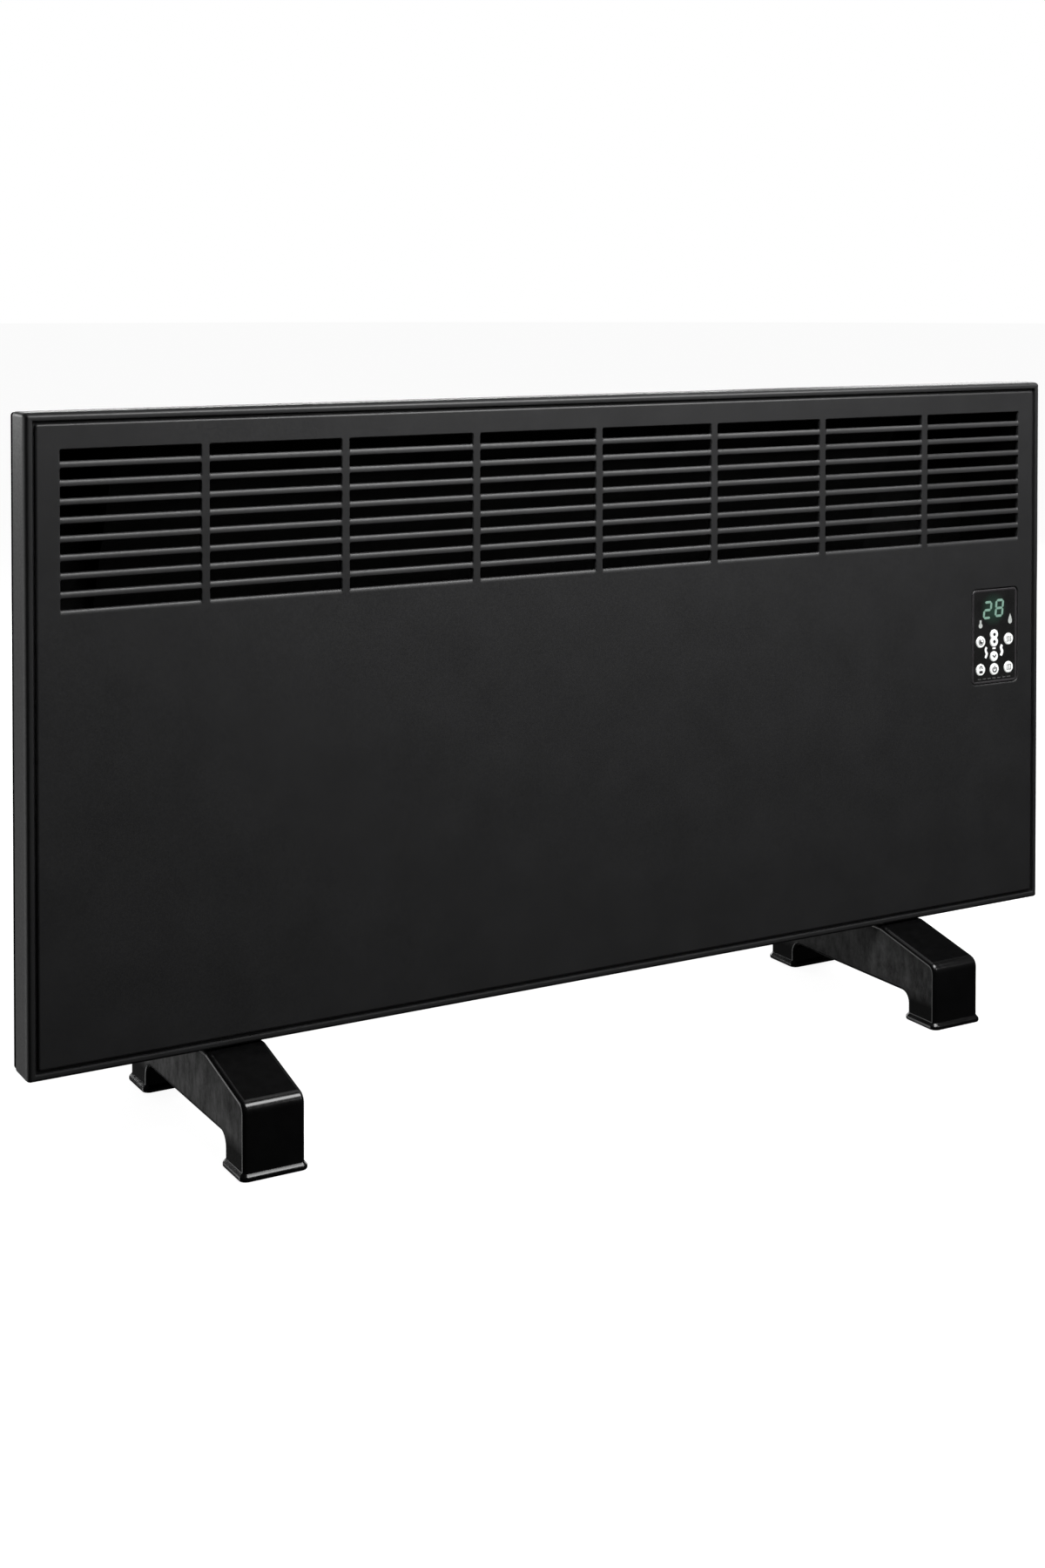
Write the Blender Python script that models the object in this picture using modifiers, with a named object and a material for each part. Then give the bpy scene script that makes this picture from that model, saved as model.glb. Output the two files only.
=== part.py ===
"""Electric panel convector heater with digital controls, standing on two moulded feet.

Metres, +Z up.  +X runs to the right as the user sees the front, +Y runs to the back.
The origin is on the floor, midway between the feet and midway along them.
"""
import math

import bmesh
import bpy
from mathutils import Euler, Vector

# ---------------------------------------------------------------- driving sizes
BODY_W = 0.900
BODY_H = 0.450
BODY_BOTTOM = 0.0685
FRONT_Y = -0.044
FRAME_DEPTH = 0.034
CASING_BACK_Y = 0.040
SHEET = 0.001
GAP = 0.0003

RIM_W = 0.0055
GROOVE_W = 0.002
RIM_RADIUS = 0.003
PANEL_SETBACK = 0.0005
LEDGE = 0.002
FRAME_WALL = 0.002

SLOT_COLUMNS = 8
SLOT_ROWS = 9
SLOT_W = 0.1005
SLOT_H = 0.0077
SLOT_PITCH_X = 0.1072
SLOT_PITCH_Z = 0.01256
FIRST_SLOT_BELOW_TOP = 0.0253

OVERLAY_W = 0.0506
OVERLAY_H = 0.081
OVERLAY_X = 0.4003
OVERLAY_Z = BODY_BOTTOM + 0.2328
OVERLAY_CORNER = 0.004
KEY_RADIUS = 0.0048
SMALL_KEY_RADIUS = 0.0042
UP_KEY_LOBE = 0.0031
KEY_PROUD = 0.0003
KEY_FLANGE = 0.0009
KEY_FLANGE_THICKNESS = 0.0008
KEY_STEM_RADIUS = 0.0016
KEY_STEM_LENGTH = 0.0010
KEY_ROOT = 0.0004

FOOT_X = 0.300
FOOT_W = 0.0456
FOOT_HALF_LENGTH = 0.1107
FOOT_LIP = 0.0023
LEG_DEPTH = 0.034
ARCH_Z = 0.0215
ARCH_FILLET = 0.008
FOOT_SHOULDER_Z = 0.0525
FOOT_BASE_Z = 0.0008
PAD_HEIGHT = 0.004

CASING_INSET_X = 0.016
CASING_INSET_Z = 0.006

# ---------------------------------------------------------------- worked-out planes
BODY_TOP = BODY_BOTTOM + BODY_H
BODY_MID_Z = BODY_BOTTOM + BODY_H / 2
FRAME_BACK_Y = FRONT_Y + FRAME_DEPTH
PANEL_FRONT_Y = FRONT_Y + PANEL_SETBACK
PANEL_BACK_Y = PANEL_FRONT_Y + SHEET
LEDGE_FRONT_Y = PANEL_BACK_Y + GAP
LEDGE_BACK_Y = LEDGE_FRONT_Y + LEDGE
CASING_FRONT_Y = LEDGE_BACK_Y + GAP
CASING_W = BODY_W - 2 * CASING_INSET_X
CASING_H = BODY_H - 2 * CASING_INSET_Z
CASING_BOTTOM = BODY_BOTTOM + CASING_INSET_Z
CASING_SIDE_X = CASING_W / 2

OBJECT_NAME = "panel_convector_heater"


# ---------------------------------------------------------------- scene and materials
def clear_scene():
    for old in list(bpy.data.objects):
        bpy.data.objects.remove(old, do_unlink=True)
    for old in list(bpy.data.collections):
        bpy.data.collections.remove(old)


def new_collection(name):
    collection = bpy.data.collections.new(name)
    bpy.context.scene.collection.children.link(collection)
    return collection


clear_scene()
PARTS = new_collection(OBJECT_NAME)
CUTTERS = new_collection("cutters")


def paint(part, colour, roughness, metallic=0.0):
    """Give a part its own Principled material."""
    material = bpy.data.materials.new(part.name)
    material.use_nodes = True
    shader = material.node_tree.nodes["Principled BSDF"]
    shader.inputs["Base Color"].default_value = (*colour, 1.0)
    shader.inputs["Roughness"].default_value = roughness
    shader.inputs["Metallic"].default_value = metallic
    part.data.materials.clear()
    part.data.materials.append(material)
    return part


def black_steel(part):
    return paint(part, (0.022, 0.022, 0.024), 0.38)


def black_plastic(part):
    return paint(part, (0.012, 0.012, 0.013), 0.3)


def gloss_black(part):
    return paint(part, (0.006, 0.006, 0.007), 0.08)


def rubber(part):
    return paint(part, (0.02, 0.02, 0.02), 0.85)


def zinc(part):
    return paint(part, (0.62, 0.63, 0.65), 0.35, 1.0)


def aluminium(part):
    return paint(part, (0.70, 0.71, 0.73), 0.4, 1.0)


def ceramic(part):
    return paint(part, (0.85, 0.83, 0.78), 0.5)


def board_green(part):
    return paint(part, (0.02, 0.16, 0.06), 0.45)


def white_plastic(part):
    return paint(part, (0.82, 0.82, 0.82), 0.4)


def wire_jacket(part, colour):
    return paint(part, colour, 0.5)


# ---------------------------------------------------------------- shape helpers
def add_mesh(name, mesh, collection=None):
    part = bpy.data.objects.new(name, mesh)
    (collection or PARTS).objects.link(part)
    return part


def box(name, low, high, collection=None):
    """A block between two opposite corners."""
    low, high = Vector(low), Vector(high)
    mesh = bpy.data.meshes.new(name)
    solid = bmesh.new()
    bmesh.ops.create_cube(solid, size=1.0)
    bmesh.ops.scale(solid, vec=high - low, verts=solid.verts)
    solid.to_mesh(mesh)
    solid.free()
    part = add_mesh(name, mesh, collection)
    part.location = (low + high) / 2
    return part


def cylinder(name, radius, start, end, sides=24, collection=None, end_radius=None):
    """A cylinder or cone frustum from one point to another."""
    start, end = Vector(start), Vector(end)
    mesh = bpy.data.meshes.new(name)
    solid = bmesh.new()
    bmesh.ops.create_cone(
        solid, cap_ends=True, segments=sides, radius1=radius,
        radius2=radius if end_radius is None else end_radius, depth=(end - start).length)
    solid.to_mesh(mesh)
    solid.free()
    mesh.shade_smooth()
    mesh.set_sharp_from_angle(angle=math.radians(40))
    part = add_mesh(name, mesh, collection)
    part.location = (start + end) / 2
    part.rotation_euler = (end - start).to_track_quat("Z", "Y").to_euler()
    return part


def bevel(part, width, segments=2, angle=40):
    modifier = part.modifiers.new("rounded_edges", "BEVEL")
    modifier.width = width
    modifier.segments = segments
    modifier.limit_method = "ANGLE"
    modifier.angle_limit = math.radians(angle)
    return part


def boolean(part, other, operation):
    """Cut with, or join to, another solid, which becomes a hidden helper."""
    modifier = part.modifiers.new(other.name, "BOOLEAN")
    modifier.operation = operation
    modifier.solver = "EXACT"
    modifier.object = other
    other.hide_render = True
    other.display_type = "WIRE"
    for owner in list(other.users_collection):
        owner.objects.unlink(other)
    CUTTERS.objects.link(other)
    return part


def cut(part, *others):
    for other in others:
        boolean(part, other, "DIFFERENCE")
    return part


def join(part, *others):
    for other in others:
        boolean(part, other, "UNION")
    return part


def many_boxes(name, corners):
    """One helper object that holds several separate blocks."""
    mesh = bpy.data.meshes.new(name)
    solid = bmesh.new()
    for low, high in corners:
        low, high = Vector(low), Vector(high)
        made = bmesh.ops.create_cube(solid, size=1.0)["verts"]
        bmesh.ops.scale(solid, vec=high - low, verts=made)
        bmesh.ops.translate(solid, vec=(low + high) / 2, verts=made)
    solid.to_mesh(mesh)
    solid.free()
    return add_mesh(name, mesh, CUTTERS)


def rectangle(width, height, centre=(0.0, 0.0)):
    x, y = centre
    return [(x - width / 2, y - height / 2), (x + width / 2, y - height / 2),
            (x + width / 2, y + height / 2), (x - width / 2, y + height / 2)]


def arc(centre, radius, start, end, steps):
    """Points along an arc, angles in degrees."""
    points = []
    for step in range(steps + 1):
        angle = math.radians(start + (end - start) * step / steps)
        points.append((centre[0] + radius * math.cos(angle), centre[1] + radius * math.sin(angle)))
    return points


def rounded_rectangle(width, height, radius, centre=(0.0, 0.0), steps=4):
    x, y = centre
    half_w, half_h = width / 2 - radius, height / 2 - radius
    corners = [(half_w, half_h, 0), (-half_w, half_h, 90), (-half_w, -half_h, 180), (half_w, -half_h, 270)]
    points = []
    for corner_x, corner_y, start in corners:
        points += arc((x + corner_x, y + corner_y), radius, start, start + 90, steps)
    return points


def flat_solid(name, outlines, thickness, location, rotation):
    """A plate cut to a flat outline; every outline after the first is a hole."""
    curve = bpy.data.curves.new(name, "CURVE")
    curve.dimensions = "2D"
    curve.fill_mode = "BOTH"
    curve.extrude = thickness / 2
    for outline in outlines:
        spline = curve.splines.new("POLY")
        spline.points.add(len(outline) - 1)
        for point, (x, y) in zip(spline.points, outline):
            point.co = (x, y, 0.0, 1.0)
        spline.use_cyclic_u = True
    shape = bpy.data.objects.new(name + "_outline", curve)
    PARTS.objects.link(shape)
    shape.location = location
    shape.rotation_euler = rotation
    bpy.context.view_layer.update()
    depsgraph = bpy.context.evaluated_depsgraph_get()
    mesh = bpy.data.meshes.new_from_object(shape.evaluated_get(depsgraph))
    welded = bmesh.new()
    welded.from_mesh(mesh)
    bmesh.ops.remove_doubles(welded, verts=welded.verts, dist=0.000001)
    bmesh.ops.recalc_face_normals(welded, faces=welded.faces)
    welded.to_mesh(mesh)
    welded.free()
    part = add_mesh(name, mesh)
    part.matrix_world = shape.matrix_world.copy()
    bpy.data.objects.remove(shape, do_unlink=True)
    return part


FACING_FRONT = Euler((math.pi / 2, 0.0, 0.0))
SEEN_FROM_SIDE = Euler((math.pi / 2, 0.0, math.pi / 2))


def wire(name, route, radius, colour):
    """An insulated wire along a smooth route through the given points."""
    points = [Vector(point) for point in route]
    padded = [2 * points[0] - points[1]] + points + [2 * points[-1] - points[-2]]
    smooth = []
    steps = 4
    for index in range(1, len(padded) - 2):
        before, start, end, after = padded[index - 1:index + 3]
        for step in range(steps):
            t = step / steps
            smooth.append(0.5 * (2 * start + (end - before) * t
                                 + (2 * before - 5 * start + 4 * end - after) * t ** 2
                                 + (3 * start - before - 3 * end + after) * t ** 3))
    smooth.append(points[-1])
    curve = bpy.data.curves.new(name, "CURVE")
    curve.dimensions = "3D"
    curve.bevel_depth = radius
    curve.bevel_resolution = 1
    curve.use_fill_caps = True
    spline = curve.splines.new("POLY")
    spline.points.add(len(smooth) - 1)
    for point, place in zip(spline.points, smooth):
        point.co = (*place, 1.0)
    part = bpy.data.objects.new(name, curve)
    PARTS.objects.link(part)
    return wire_jacket(part, colour)


def pan_head_screw(name, seat, direction, shank_radius, shank_length, head_radius, head_height):
    """A screw whose head rests on `seat` and whose shank runs along `direction`."""
    seat, direction = Vector(seat), Vector(direction)
    screw = cylinder(name, head_radius, seat - direction * head_height, seat, 20)
    shank = cylinder(name + "_shank", shank_radius, seat - direction * head_height / 2,
                     seat + direction * shank_length, 16)
    join(screw, shank)
    slot_axis = Vector((1.0, 0.0, 0.0))
    across = direction.cross(slot_axis)
    top = seat - direction * head_height
    half_slot = slot_axis * head_radius * 0.62 + across * 0.0004 + direction * head_height * 0.45
    half_cross = slot_axis * 0.0004 + across * head_radius * 0.62 + direction * head_height * 0.45
    for label, half in (("slot", half_slot), ("cross", half_cross)):
        size = Vector([abs(value) for value in half])
        cut(screw, box(name + "_" + label, top - size, top + size))
    return zinc(screw)


# ---------------------------------------------------------------- outer shell
def grille_slots():
    """Centre of each outlet slot, measured from the middle of the front panel."""
    first_z = BODY_H / 2 - FIRST_SLOT_BELOW_TOP - SLOT_H / 2
    for column in range(SLOT_COLUMNS):
        x = (column - (SLOT_COLUMNS - 1) / 2) * SLOT_PITCH_X
        for row in range(SLOT_ROWS):
            yield x, first_z - row * SLOT_PITCH_Z


def make_front_panel():
    inset = RIM_W + GROOVE_W
    outlines = [rounded_rectangle(BODY_W - 2 * inset, BODY_H - 2 * inset, 0.002, steps=2)]
    outlines += [rectangle(SLOT_W, SLOT_H, place) for place in grille_slots()]
    window = (OVERLAY_X, OVERLAY_Z - BODY_MID_Z)
    outlines.append(rounded_rectangle(OVERLAY_W + 2 * GAP, OVERLAY_H + 2 * GAP,
                                      OVERLAY_CORNER + GAP, window))
    middle = (0.0, (PANEL_FRONT_Y + PANEL_BACK_Y) / 2, BODY_MID_Z)
    return black_steel(flat_solid("front_panel", outlines, SHEET, middle, FACING_FRONT))


def centred_block(name, width, height, front_y, back_y):
    """A block centred on the body, seen from the front."""
    return box(name, (-width / 2, front_y, BODY_MID_Z - height / 2),
               (width / 2, back_y, BODY_MID_Z + height / 2))


SCREW_X = BODY_W / 2 - 0.0085
CASING_SCREW_Z = (BODY_BOTTOM + 0.055, BODY_TOP - 0.055)
FLANGE_FRONT_Y = FRAME_BACK_Y + GAP
FLANGE_THICKNESS = 0.0012


def casing_screw_places():
    for side in (-1, 1):
        for z in CASING_SCREW_Z:
            yield side * SCREW_X, z


def screw_hole_cutters(name, radius, start_y, end_y):
    return [cylinder(f"{name}_{index}", radius, (x, start_y, z), (x, end_y, z), 16)
            for index, (x, z) in enumerate(casing_screw_places())]


def make_front_frame():
    frame = bevel(centred_block("front_frame", BODY_W, BODY_H, FRONT_Y, FRAME_BACK_Y), RIM_RADIUS, 3)
    panel_pocket = centred_block("panel_pocket", BODY_W - 2 * RIM_W, BODY_H - 2 * RIM_W,
                                 FRONT_Y - 0.01, LEDGE_FRONT_Y)
    opening = centred_block("frame_opening", CASING_W - 0.004, CASING_H - 0.012,
                            FRONT_Y - 0.01, FRAME_BACK_Y + 0.01)
    channel = centred_block("frame_channel", BODY_W - 2 * FRAME_WALL, BODY_H - 2 * FRAME_WALL,
                            LEDGE_BACK_Y, FRAME_BACK_Y - FRAME_WALL)
    casing_seat = centred_block("casing_seat", CASING_W + 2 * GAP, CASING_H + 2 * GAP,
                                LEDGE_BACK_Y + 0.001, FRAME_BACK_Y + 0.01)
    cut(frame, panel_pocket, opening, channel, casing_seat)
    cut(frame, *screw_hole_cutters("frame_hole", 0.0023, FRAME_BACK_Y - 0.005, FRAME_BACK_Y + 0.005))
    return black_steel(frame)


INTAKE_COLUMNS = 9
INTAKE_PITCH = 0.052
INTAKE_SLOT = (0.040, 0.0055)
INTAKE_ROW_Y = (-0.002, 0.010, 0.022)
KEYHOLE_X = 0.290
KEYHOLE_Z = BODY_TOP - 0.075
BACK_VENT_Z = (BODY_BOTTOM + 0.060, BODY_BOTTOM + 0.074, BODY_BOTTOM + 0.088)
GLAND_X = 0.374
GLAND_Z = BODY_BOTTOM + 0.032
SWITCH_Y = 0.014
SWITCH_Z = BODY_BOTTOM + 0.060
SWITCH_HALF_Y = 0.0065
SWITCH_HALF_Z = 0.0105


def intake_slot_blocks():
    half_w, half_d = INTAKE_SLOT[0] / 2, INTAKE_SLOT[1] / 2
    for column in range(INTAKE_COLUMNS):
        x = (column - (INTAKE_COLUMNS - 1) / 2) * INTAKE_PITCH
        for y in INTAKE_ROW_Y:
            yield ((x - half_w, y - half_d, CASING_BOTTOM - 0.003),
                   (x + half_w, y + half_d, CASING_BOTTOM + 0.003))


def back_vent_blocks():
    half_w, half_h = INTAKE_SLOT[0] / 2, 0.0025
    for column in range(INTAKE_COLUMNS):
        x = (column - (INTAKE_COLUMNS - 1) / 2) * INTAKE_PITCH
        for z in BACK_VENT_Z:
            yield ((x - half_w, CASING_BACK_Y - 0.003, z - half_h),
                   (x + half_w, CASING_BACK_Y + 0.003, z + half_h))


def keyhole_outline():
    """A round entry hole with a narrower slot above it."""
    entry_radius, slot_half = 0.0048, 0.0024
    start = math.degrees(math.acos(slot_half / entry_radius))
    lower = arc((0.0, 0.0), entry_radius, 180 - start, 360 + start, 16)
    return lower + arc((0.0, 0.011), slot_half, 0, 180, 6)


def make_rear_casing():
    rounded_front_y = CASING_FRONT_Y - 0.004
    casing = bevel(centred_block("rear_casing", CASING_W, CASING_H, rounded_front_y, CASING_BACK_Y), 0.0012, 2)
    front_trim = centred_block("casing_front_trim", CASING_W + 0.01, CASING_H + 0.01,
                               rounded_front_y - 0.01, CASING_FRONT_Y)
    flange = centred_block("casing_flange", CASING_W + 0.024, CASING_H + 0.007,
                           FLANGE_FRONT_Y, FLANGE_FRONT_Y + FLANGE_THICKNESS)
    inside = centred_block("casing_inside", CASING_W - 2 * SHEET, CASING_H - 2 * SHEET,
                           CASING_FRONT_Y - 0.01, CASING_BACK_Y - SHEET)
    join(casing, flange)
    cut(casing, front_trim, inside, many_boxes("intake_slots", intake_slot_blocks()))
    cut(casing, many_boxes("back_vents", back_vent_blocks()))
    for side, x in (("left", -KEYHOLE_X), ("right", KEYHOLE_X)):
        cut(casing, flat_solid("keyhole_" + side, [keyhole_outline()], 0.01,
                               (x, CASING_BACK_Y, KEYHOLE_Z), FACING_FRONT))
    cut(casing, cylinder("gland_hole", 0.0063, (GLAND_X, CASING_BACK_Y - 0.005, GLAND_Z),
                         (GLAND_X, CASING_BACK_Y + 0.005, GLAND_Z)))
    cut(casing, box("switch_hole",
                    (CASING_SIDE_X - 0.005, SWITCH_Y - SWITCH_HALF_Y - GAP, SWITCH_Z - SWITCH_HALF_Z - GAP),
                    (CASING_SIDE_X + 0.005, SWITCH_Y + SWITCH_HALF_Y + GAP, SWITCH_Z + SWITCH_HALF_Z + GAP)))
    cut(casing, *screw_hole_cutters("flange_hole", 0.0023, FLANGE_FRONT_Y - 0.001, FLANGE_FRONT_Y + 0.005))
    for index, (x, y) in enumerate(foot_screw_places()):
        cut(casing, cylinder(f"foot_fixing_{index}", 0.0023, (x, y, CASING_BOTTOM - 0.005),
                             (x, y, CASING_BOTTOM + 0.005), 16))
    return black_steel(casing)


def make_casing_screws():
    names = ("casing_screw_left_lower", "casing_screw_left_upper",
             "casing_screw_right_lower", "casing_screw_right_upper")
    seat_y = FLANGE_FRONT_Y + FLANGE_THICKNESS + GAP
    for name, (x, z) in zip(names, casing_screw_places()):
        pan_head_screw(name, (x, seat_y, z), (0, -1, 0), 0.002, 0.008, 0.0038, 0.0024)


def make_cable_gland():
    """A bush clipped in the casing's back wall, with a bore for the supply cable."""
    outside_y = CASING_BACK_Y + GAP
    inside_y = CASING_BACK_Y - SHEET - GAP
    gland = cylinder("cable_gland", 0.009, (GLAND_X, outside_y, GLAND_Z), (GLAND_X, outside_y + 0.003, GLAND_Z), 24)
    neck = cylinder("gland_neck", 0.006, (GLAND_X, inside_y - 0.003, GLAND_Z),
                    (GLAND_X, outside_y + 0.001, GLAND_Z))
    nose = cylinder("gland_nose", 0.0062, (GLAND_X, outside_y + 0.002, GLAND_Z),
                    (GLAND_X, outside_y + 0.014, GLAND_Z), end_radius=0.0048)
    barb = cylinder("gland_barb", 0.0075, (GLAND_X, inside_y - 0.002, GLAND_Z), (GLAND_X, inside_y, GLAND_Z))
    bore = cylinder("gland_bore", 0.0036, (GLAND_X, inside_y - 0.01, GLAND_Z), (GLAND_X, outside_y + 0.02, GLAND_Z))
    return black_plastic(cut(join(gland, neck, nose, barb), bore))


# ---------------------------------------------------------------- feet
FOOT_TOP_Z = BODY_BOTTOM - GAP
SADDLE_FRONT_Y = FRAME_BACK_Y + FLANGE_THICKNESS + 3 * GAP
SADDLE_BACK_Y = CASING_BACK_Y - 0.002
FOOT_SCREW_Y = (0.002, 0.027)
FOOT_SCREW_SEAT_Z = BODY_BOTTOM - 0.006
LIP_H = 0.0065
FOOT_WALL = 0.003


def foot_screw_places():
    for side in (-1, 1):
        for y in FOOT_SCREW_Y:
            yield side * FOOT_X, y


def foot_profile():
    """Side view of a foot: two legs, an arch between them and a sloping back and front."""
    inner = FOOT_HALF_LENGTH - LEG_DEPTH
    back_corner, shoulder = inner - ARCH_FILLET, -FRONT_Y
    fillet_z = ARCH_Z - ARCH_FILLET
    points = [(-FOOT_HALF_LENGTH, FOOT_BASE_Z), (-inner, FOOT_BASE_Z)]
    points += arc((-back_corner, fillet_z), ARCH_FILLET, 180, 90, 5)
    points += arc((back_corner, fillet_z), ARCH_FILLET, 90, 0, 5)
    points += [(inner, FOOT_BASE_Z), (FOOT_HALF_LENGTH, FOOT_BASE_Z), (FOOT_HALF_LENGTH, FOOT_SHOULDER_Z)]
    points += [(shoulder, FOOT_TOP_Z), (-shoulder, FOOT_TOP_Z), (-FOOT_HALF_LENGTH, FOOT_SHOULDER_Z)]
    return points


def leg_skirt(name, centre, half_x, half_y):
    """The flared base of one leg."""
    flare = FOOT_LIP + 0.001
    skirt = box(name, (centre[0] - half_x, centre[1] - half_y, FOOT_BASE_Z),
                (centre[0] + half_x, centre[1] + half_y, FOOT_BASE_Z + LIP_H))
    for corner in skirt.data.vertices:
        if corner.co.z > 0:
            corner.co.x -= math.copysign(flare, corner.co.x)
            corner.co.y -= math.copysign(flare, corner.co.y)
    return skirt


def make_foot(side, x):
    foot = bevel(flat_solid("foot_" + side, [foot_profile()], FOOT_W, (x, 0.0, 0.0), SEEN_FROM_SIDE), 0.0028, 3)
    leg_middle = FOOT_HALF_LENGTH - LEG_DEPTH / 2
    for label, y in (("front", -leg_middle), ("back", leg_middle)):
        join(foot, leg_skirt(f"skirt_{side}_{label}", (x, y), FOOT_W / 2 + FOOT_LIP, LEG_DEPTH / 2 + FOOT_LIP))
    join(foot, box(f"saddle_{side}", (x - FOOT_W / 2 + 0.003, SADDLE_FRONT_Y, FOOT_TOP_Z - 0.011),
                   (x + FOOT_W / 2 - 0.003, SADDLE_BACK_Y, CASING_BOTTOM - GAP)))
    for label, y in (("front", -leg_middle), ("back", leg_middle)):
        cut(foot, box(f"leg_hollow_{side}_{label}",
                      (x - FOOT_W / 2 + FOOT_WALL, y - LEG_DEPTH / 2 + FOOT_WALL, -0.01),
                      (x + FOOT_W / 2 - FOOT_WALL, y + LEG_DEPTH / 2 - FOOT_WALL, FOOT_SHOULDER_Z - 0.006)))
    for index, y in enumerate(FOOT_SCREW_Y):
        cut(foot, cylinder(f"screw_well_{side}_{index}", 0.0046, (x, y, 0.0), (x, y, FOOT_SCREW_SEAT_Z)),
            cylinder(f"screw_hole_{side}_{index}", 0.0024, (x, y, 0.05), (x, y, 0.085), 16))
    return black_plastic(foot)


def make_rubber_pad(side, label, x, y):
    half_x = FOOT_W / 2 - FOOT_WALL - GAP
    half_y = LEG_DEPTH / 2 - FOOT_WALL - GAP
    pad = box(f"rubber_pad_{side}_{label}", (x - half_x, y - half_y, 0.0), (x + half_x, y + half_y, PAD_HEIGHT))
    return rubber(bevel(pad, 0.0006, 1))


def make_feet():
    leg_middle = FOOT_HALF_LENGTH - LEG_DEPTH / 2
    for side, x in (("left", -FOOT_X), ("right", FOOT_X)):
        make_foot(side, x)
        for label, y in (("front", -leg_middle), ("back", leg_middle)):
            make_rubber_pad(side, label, x, y)
        for label, y in zip(("front", "back"), FOOT_SCREW_Y):
            pan_head_screw(f"foot_screw_{side}_{label}", (x, y, FOOT_SCREW_SEAT_Z - GAP), (0, 0, 1),
                           0.002, 0.019, 0.0038, 0.0026)


# ---------------------------------------------------------------- heating
ELEMENT_LEFT_X = -0.380
ELEMENT_RIGHT_X = 0.320
ELEMENT_Y = -0.003
ELEMENT_Z = {"lower": BODY_BOTTOM + 0.072, "upper": BODY_BOTTOM + 0.150}
CORE_RADIUS = 0.007
FIN_REACH = 0.030
FIN_THICKNESS = 0.0022
COLLAR_RADIUS = 0.0105
NECK_RADIUS = 0.0065
COLLAR_LENGTH = 0.010
BRACKET_SHEET = 0.0012


def fin_profile():
    """Cross-section of an extruded element: a round core with four diagonal fins."""
    half_angle = math.degrees(math.asin(FIN_THICKNESS / 2 / CORE_RADIUS))
    points = []
    for quarter in range(4):
        middle = 45 + 90 * quarter
        along = Vector((math.cos(math.radians(middle)), math.sin(math.radians(middle))))
        across = Vector((-along.y, along.x)) * FIN_THICKNESS / 2
        points += [tuple(along * FIN_REACH - across), tuple(along * FIN_REACH + across)]
        points += arc((0.0, 0.0), CORE_RADIUS, middle + half_angle, middle + 90 - half_angle, 4)
    return points


def make_heating_element(level):
    length = ELEMENT_RIGHT_X - ELEMENT_LEFT_X
    middle = ((ELEMENT_LEFT_X + ELEMENT_RIGHT_X) / 2, ELEMENT_Y, ELEMENT_Z[level])
    return aluminium(flat_solid("heating_element_" + level, [fin_profile()], length, middle, SEEN_FROM_SIDE))


def make_end_insulator(level, side):
    """A stepped ceramic bush that carries one end of an element in its bracket."""
    outward = 1 if side == "right" else -1
    start_x = (ELEMENT_RIGHT_X if side == "right" else ELEMENT_LEFT_X) + outward * GAP
    end_x = start_x + outward * COLLAR_LENGTH
    tip_x = end_x + outward * 0.012
    y, z = ELEMENT_Y, ELEMENT_Z[level]
    collar = cylinder(f"element_insulator_{level}_{side}", COLLAR_RADIUS, (start_x, y, z), (end_x, y, z), 20)
    neck = cylinder(f"insulator_neck_{level}_{side}", NECK_RADIUS, (end_x - outward * 0.004, y, z), (tip_x, y, z), 20)
    return ceramic(join(collar, neck))


def make_element_bracket(side):
    """A folded steel plate with two holes, fixed to the casing's back wall."""
    outward = 1 if side == "right" else -1
    end_x = ELEMENT_RIGHT_X if side == "right" else ELEMENT_LEFT_X
    plate_in = end_x + outward * (COLLAR_LENGTH + 2 * GAP)
    plate_out = plate_in + outward * BRACKET_SHEET
    back_y = CASING_BACK_Y - SHEET - GAP
    low_z, high_z = BODY_BOTTOM + 0.030, BODY_BOTTOM + 0.192
    left, right = sorted((plate_in, plate_out))
    bracket = box("element_bracket_" + side, (left, -0.030, low_z), (right, back_y, high_z))
    foot_left, foot_right = sorted((plate_in, plate_in + outward * 0.020))
    join(bracket, box("bracket_flange_" + side, (foot_left, back_y - BRACKET_SHEET, low_z),
                      (foot_right, back_y, high_z)))
    for level, z in ELEMENT_Z.items():
        cut(bracket, cylinder(f"bracket_hole_{side}_{level}", NECK_RADIUS + 2 * GAP,
                              (left - 0.004, ELEMENT_Y, z), (right + 0.004, ELEMENT_Y, z), 20))
    return zinc(bracket)


def make_heat_shield():
    """A folded reflector behind the elements, which leans forward above them."""
    plate_y, lean_y = 0.0335, -0.020
    low_z, fold_z, high_z = BODY_BOTTOM + 0.112, BODY_BOTTOM + 0.305, BODY_TOP - 0.012
    t = 0.0008
    outline = [(plate_y, low_z), (plate_y + t, low_z), (plate_y + t, fold_z),
               (lean_y + t, high_z), (lean_y, high_z), (plate_y, fold_z)]
    length = ELEMENT_RIGHT_X - ELEMENT_LEFT_X - 0.006
    middle = ((ELEMENT_LEFT_X + ELEMENT_RIGHT_X) / 2, 0.0, 0.0)
    return zinc(flat_solid("heat_shield", [outline], length, middle, SEEN_FROM_SIDE))


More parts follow.
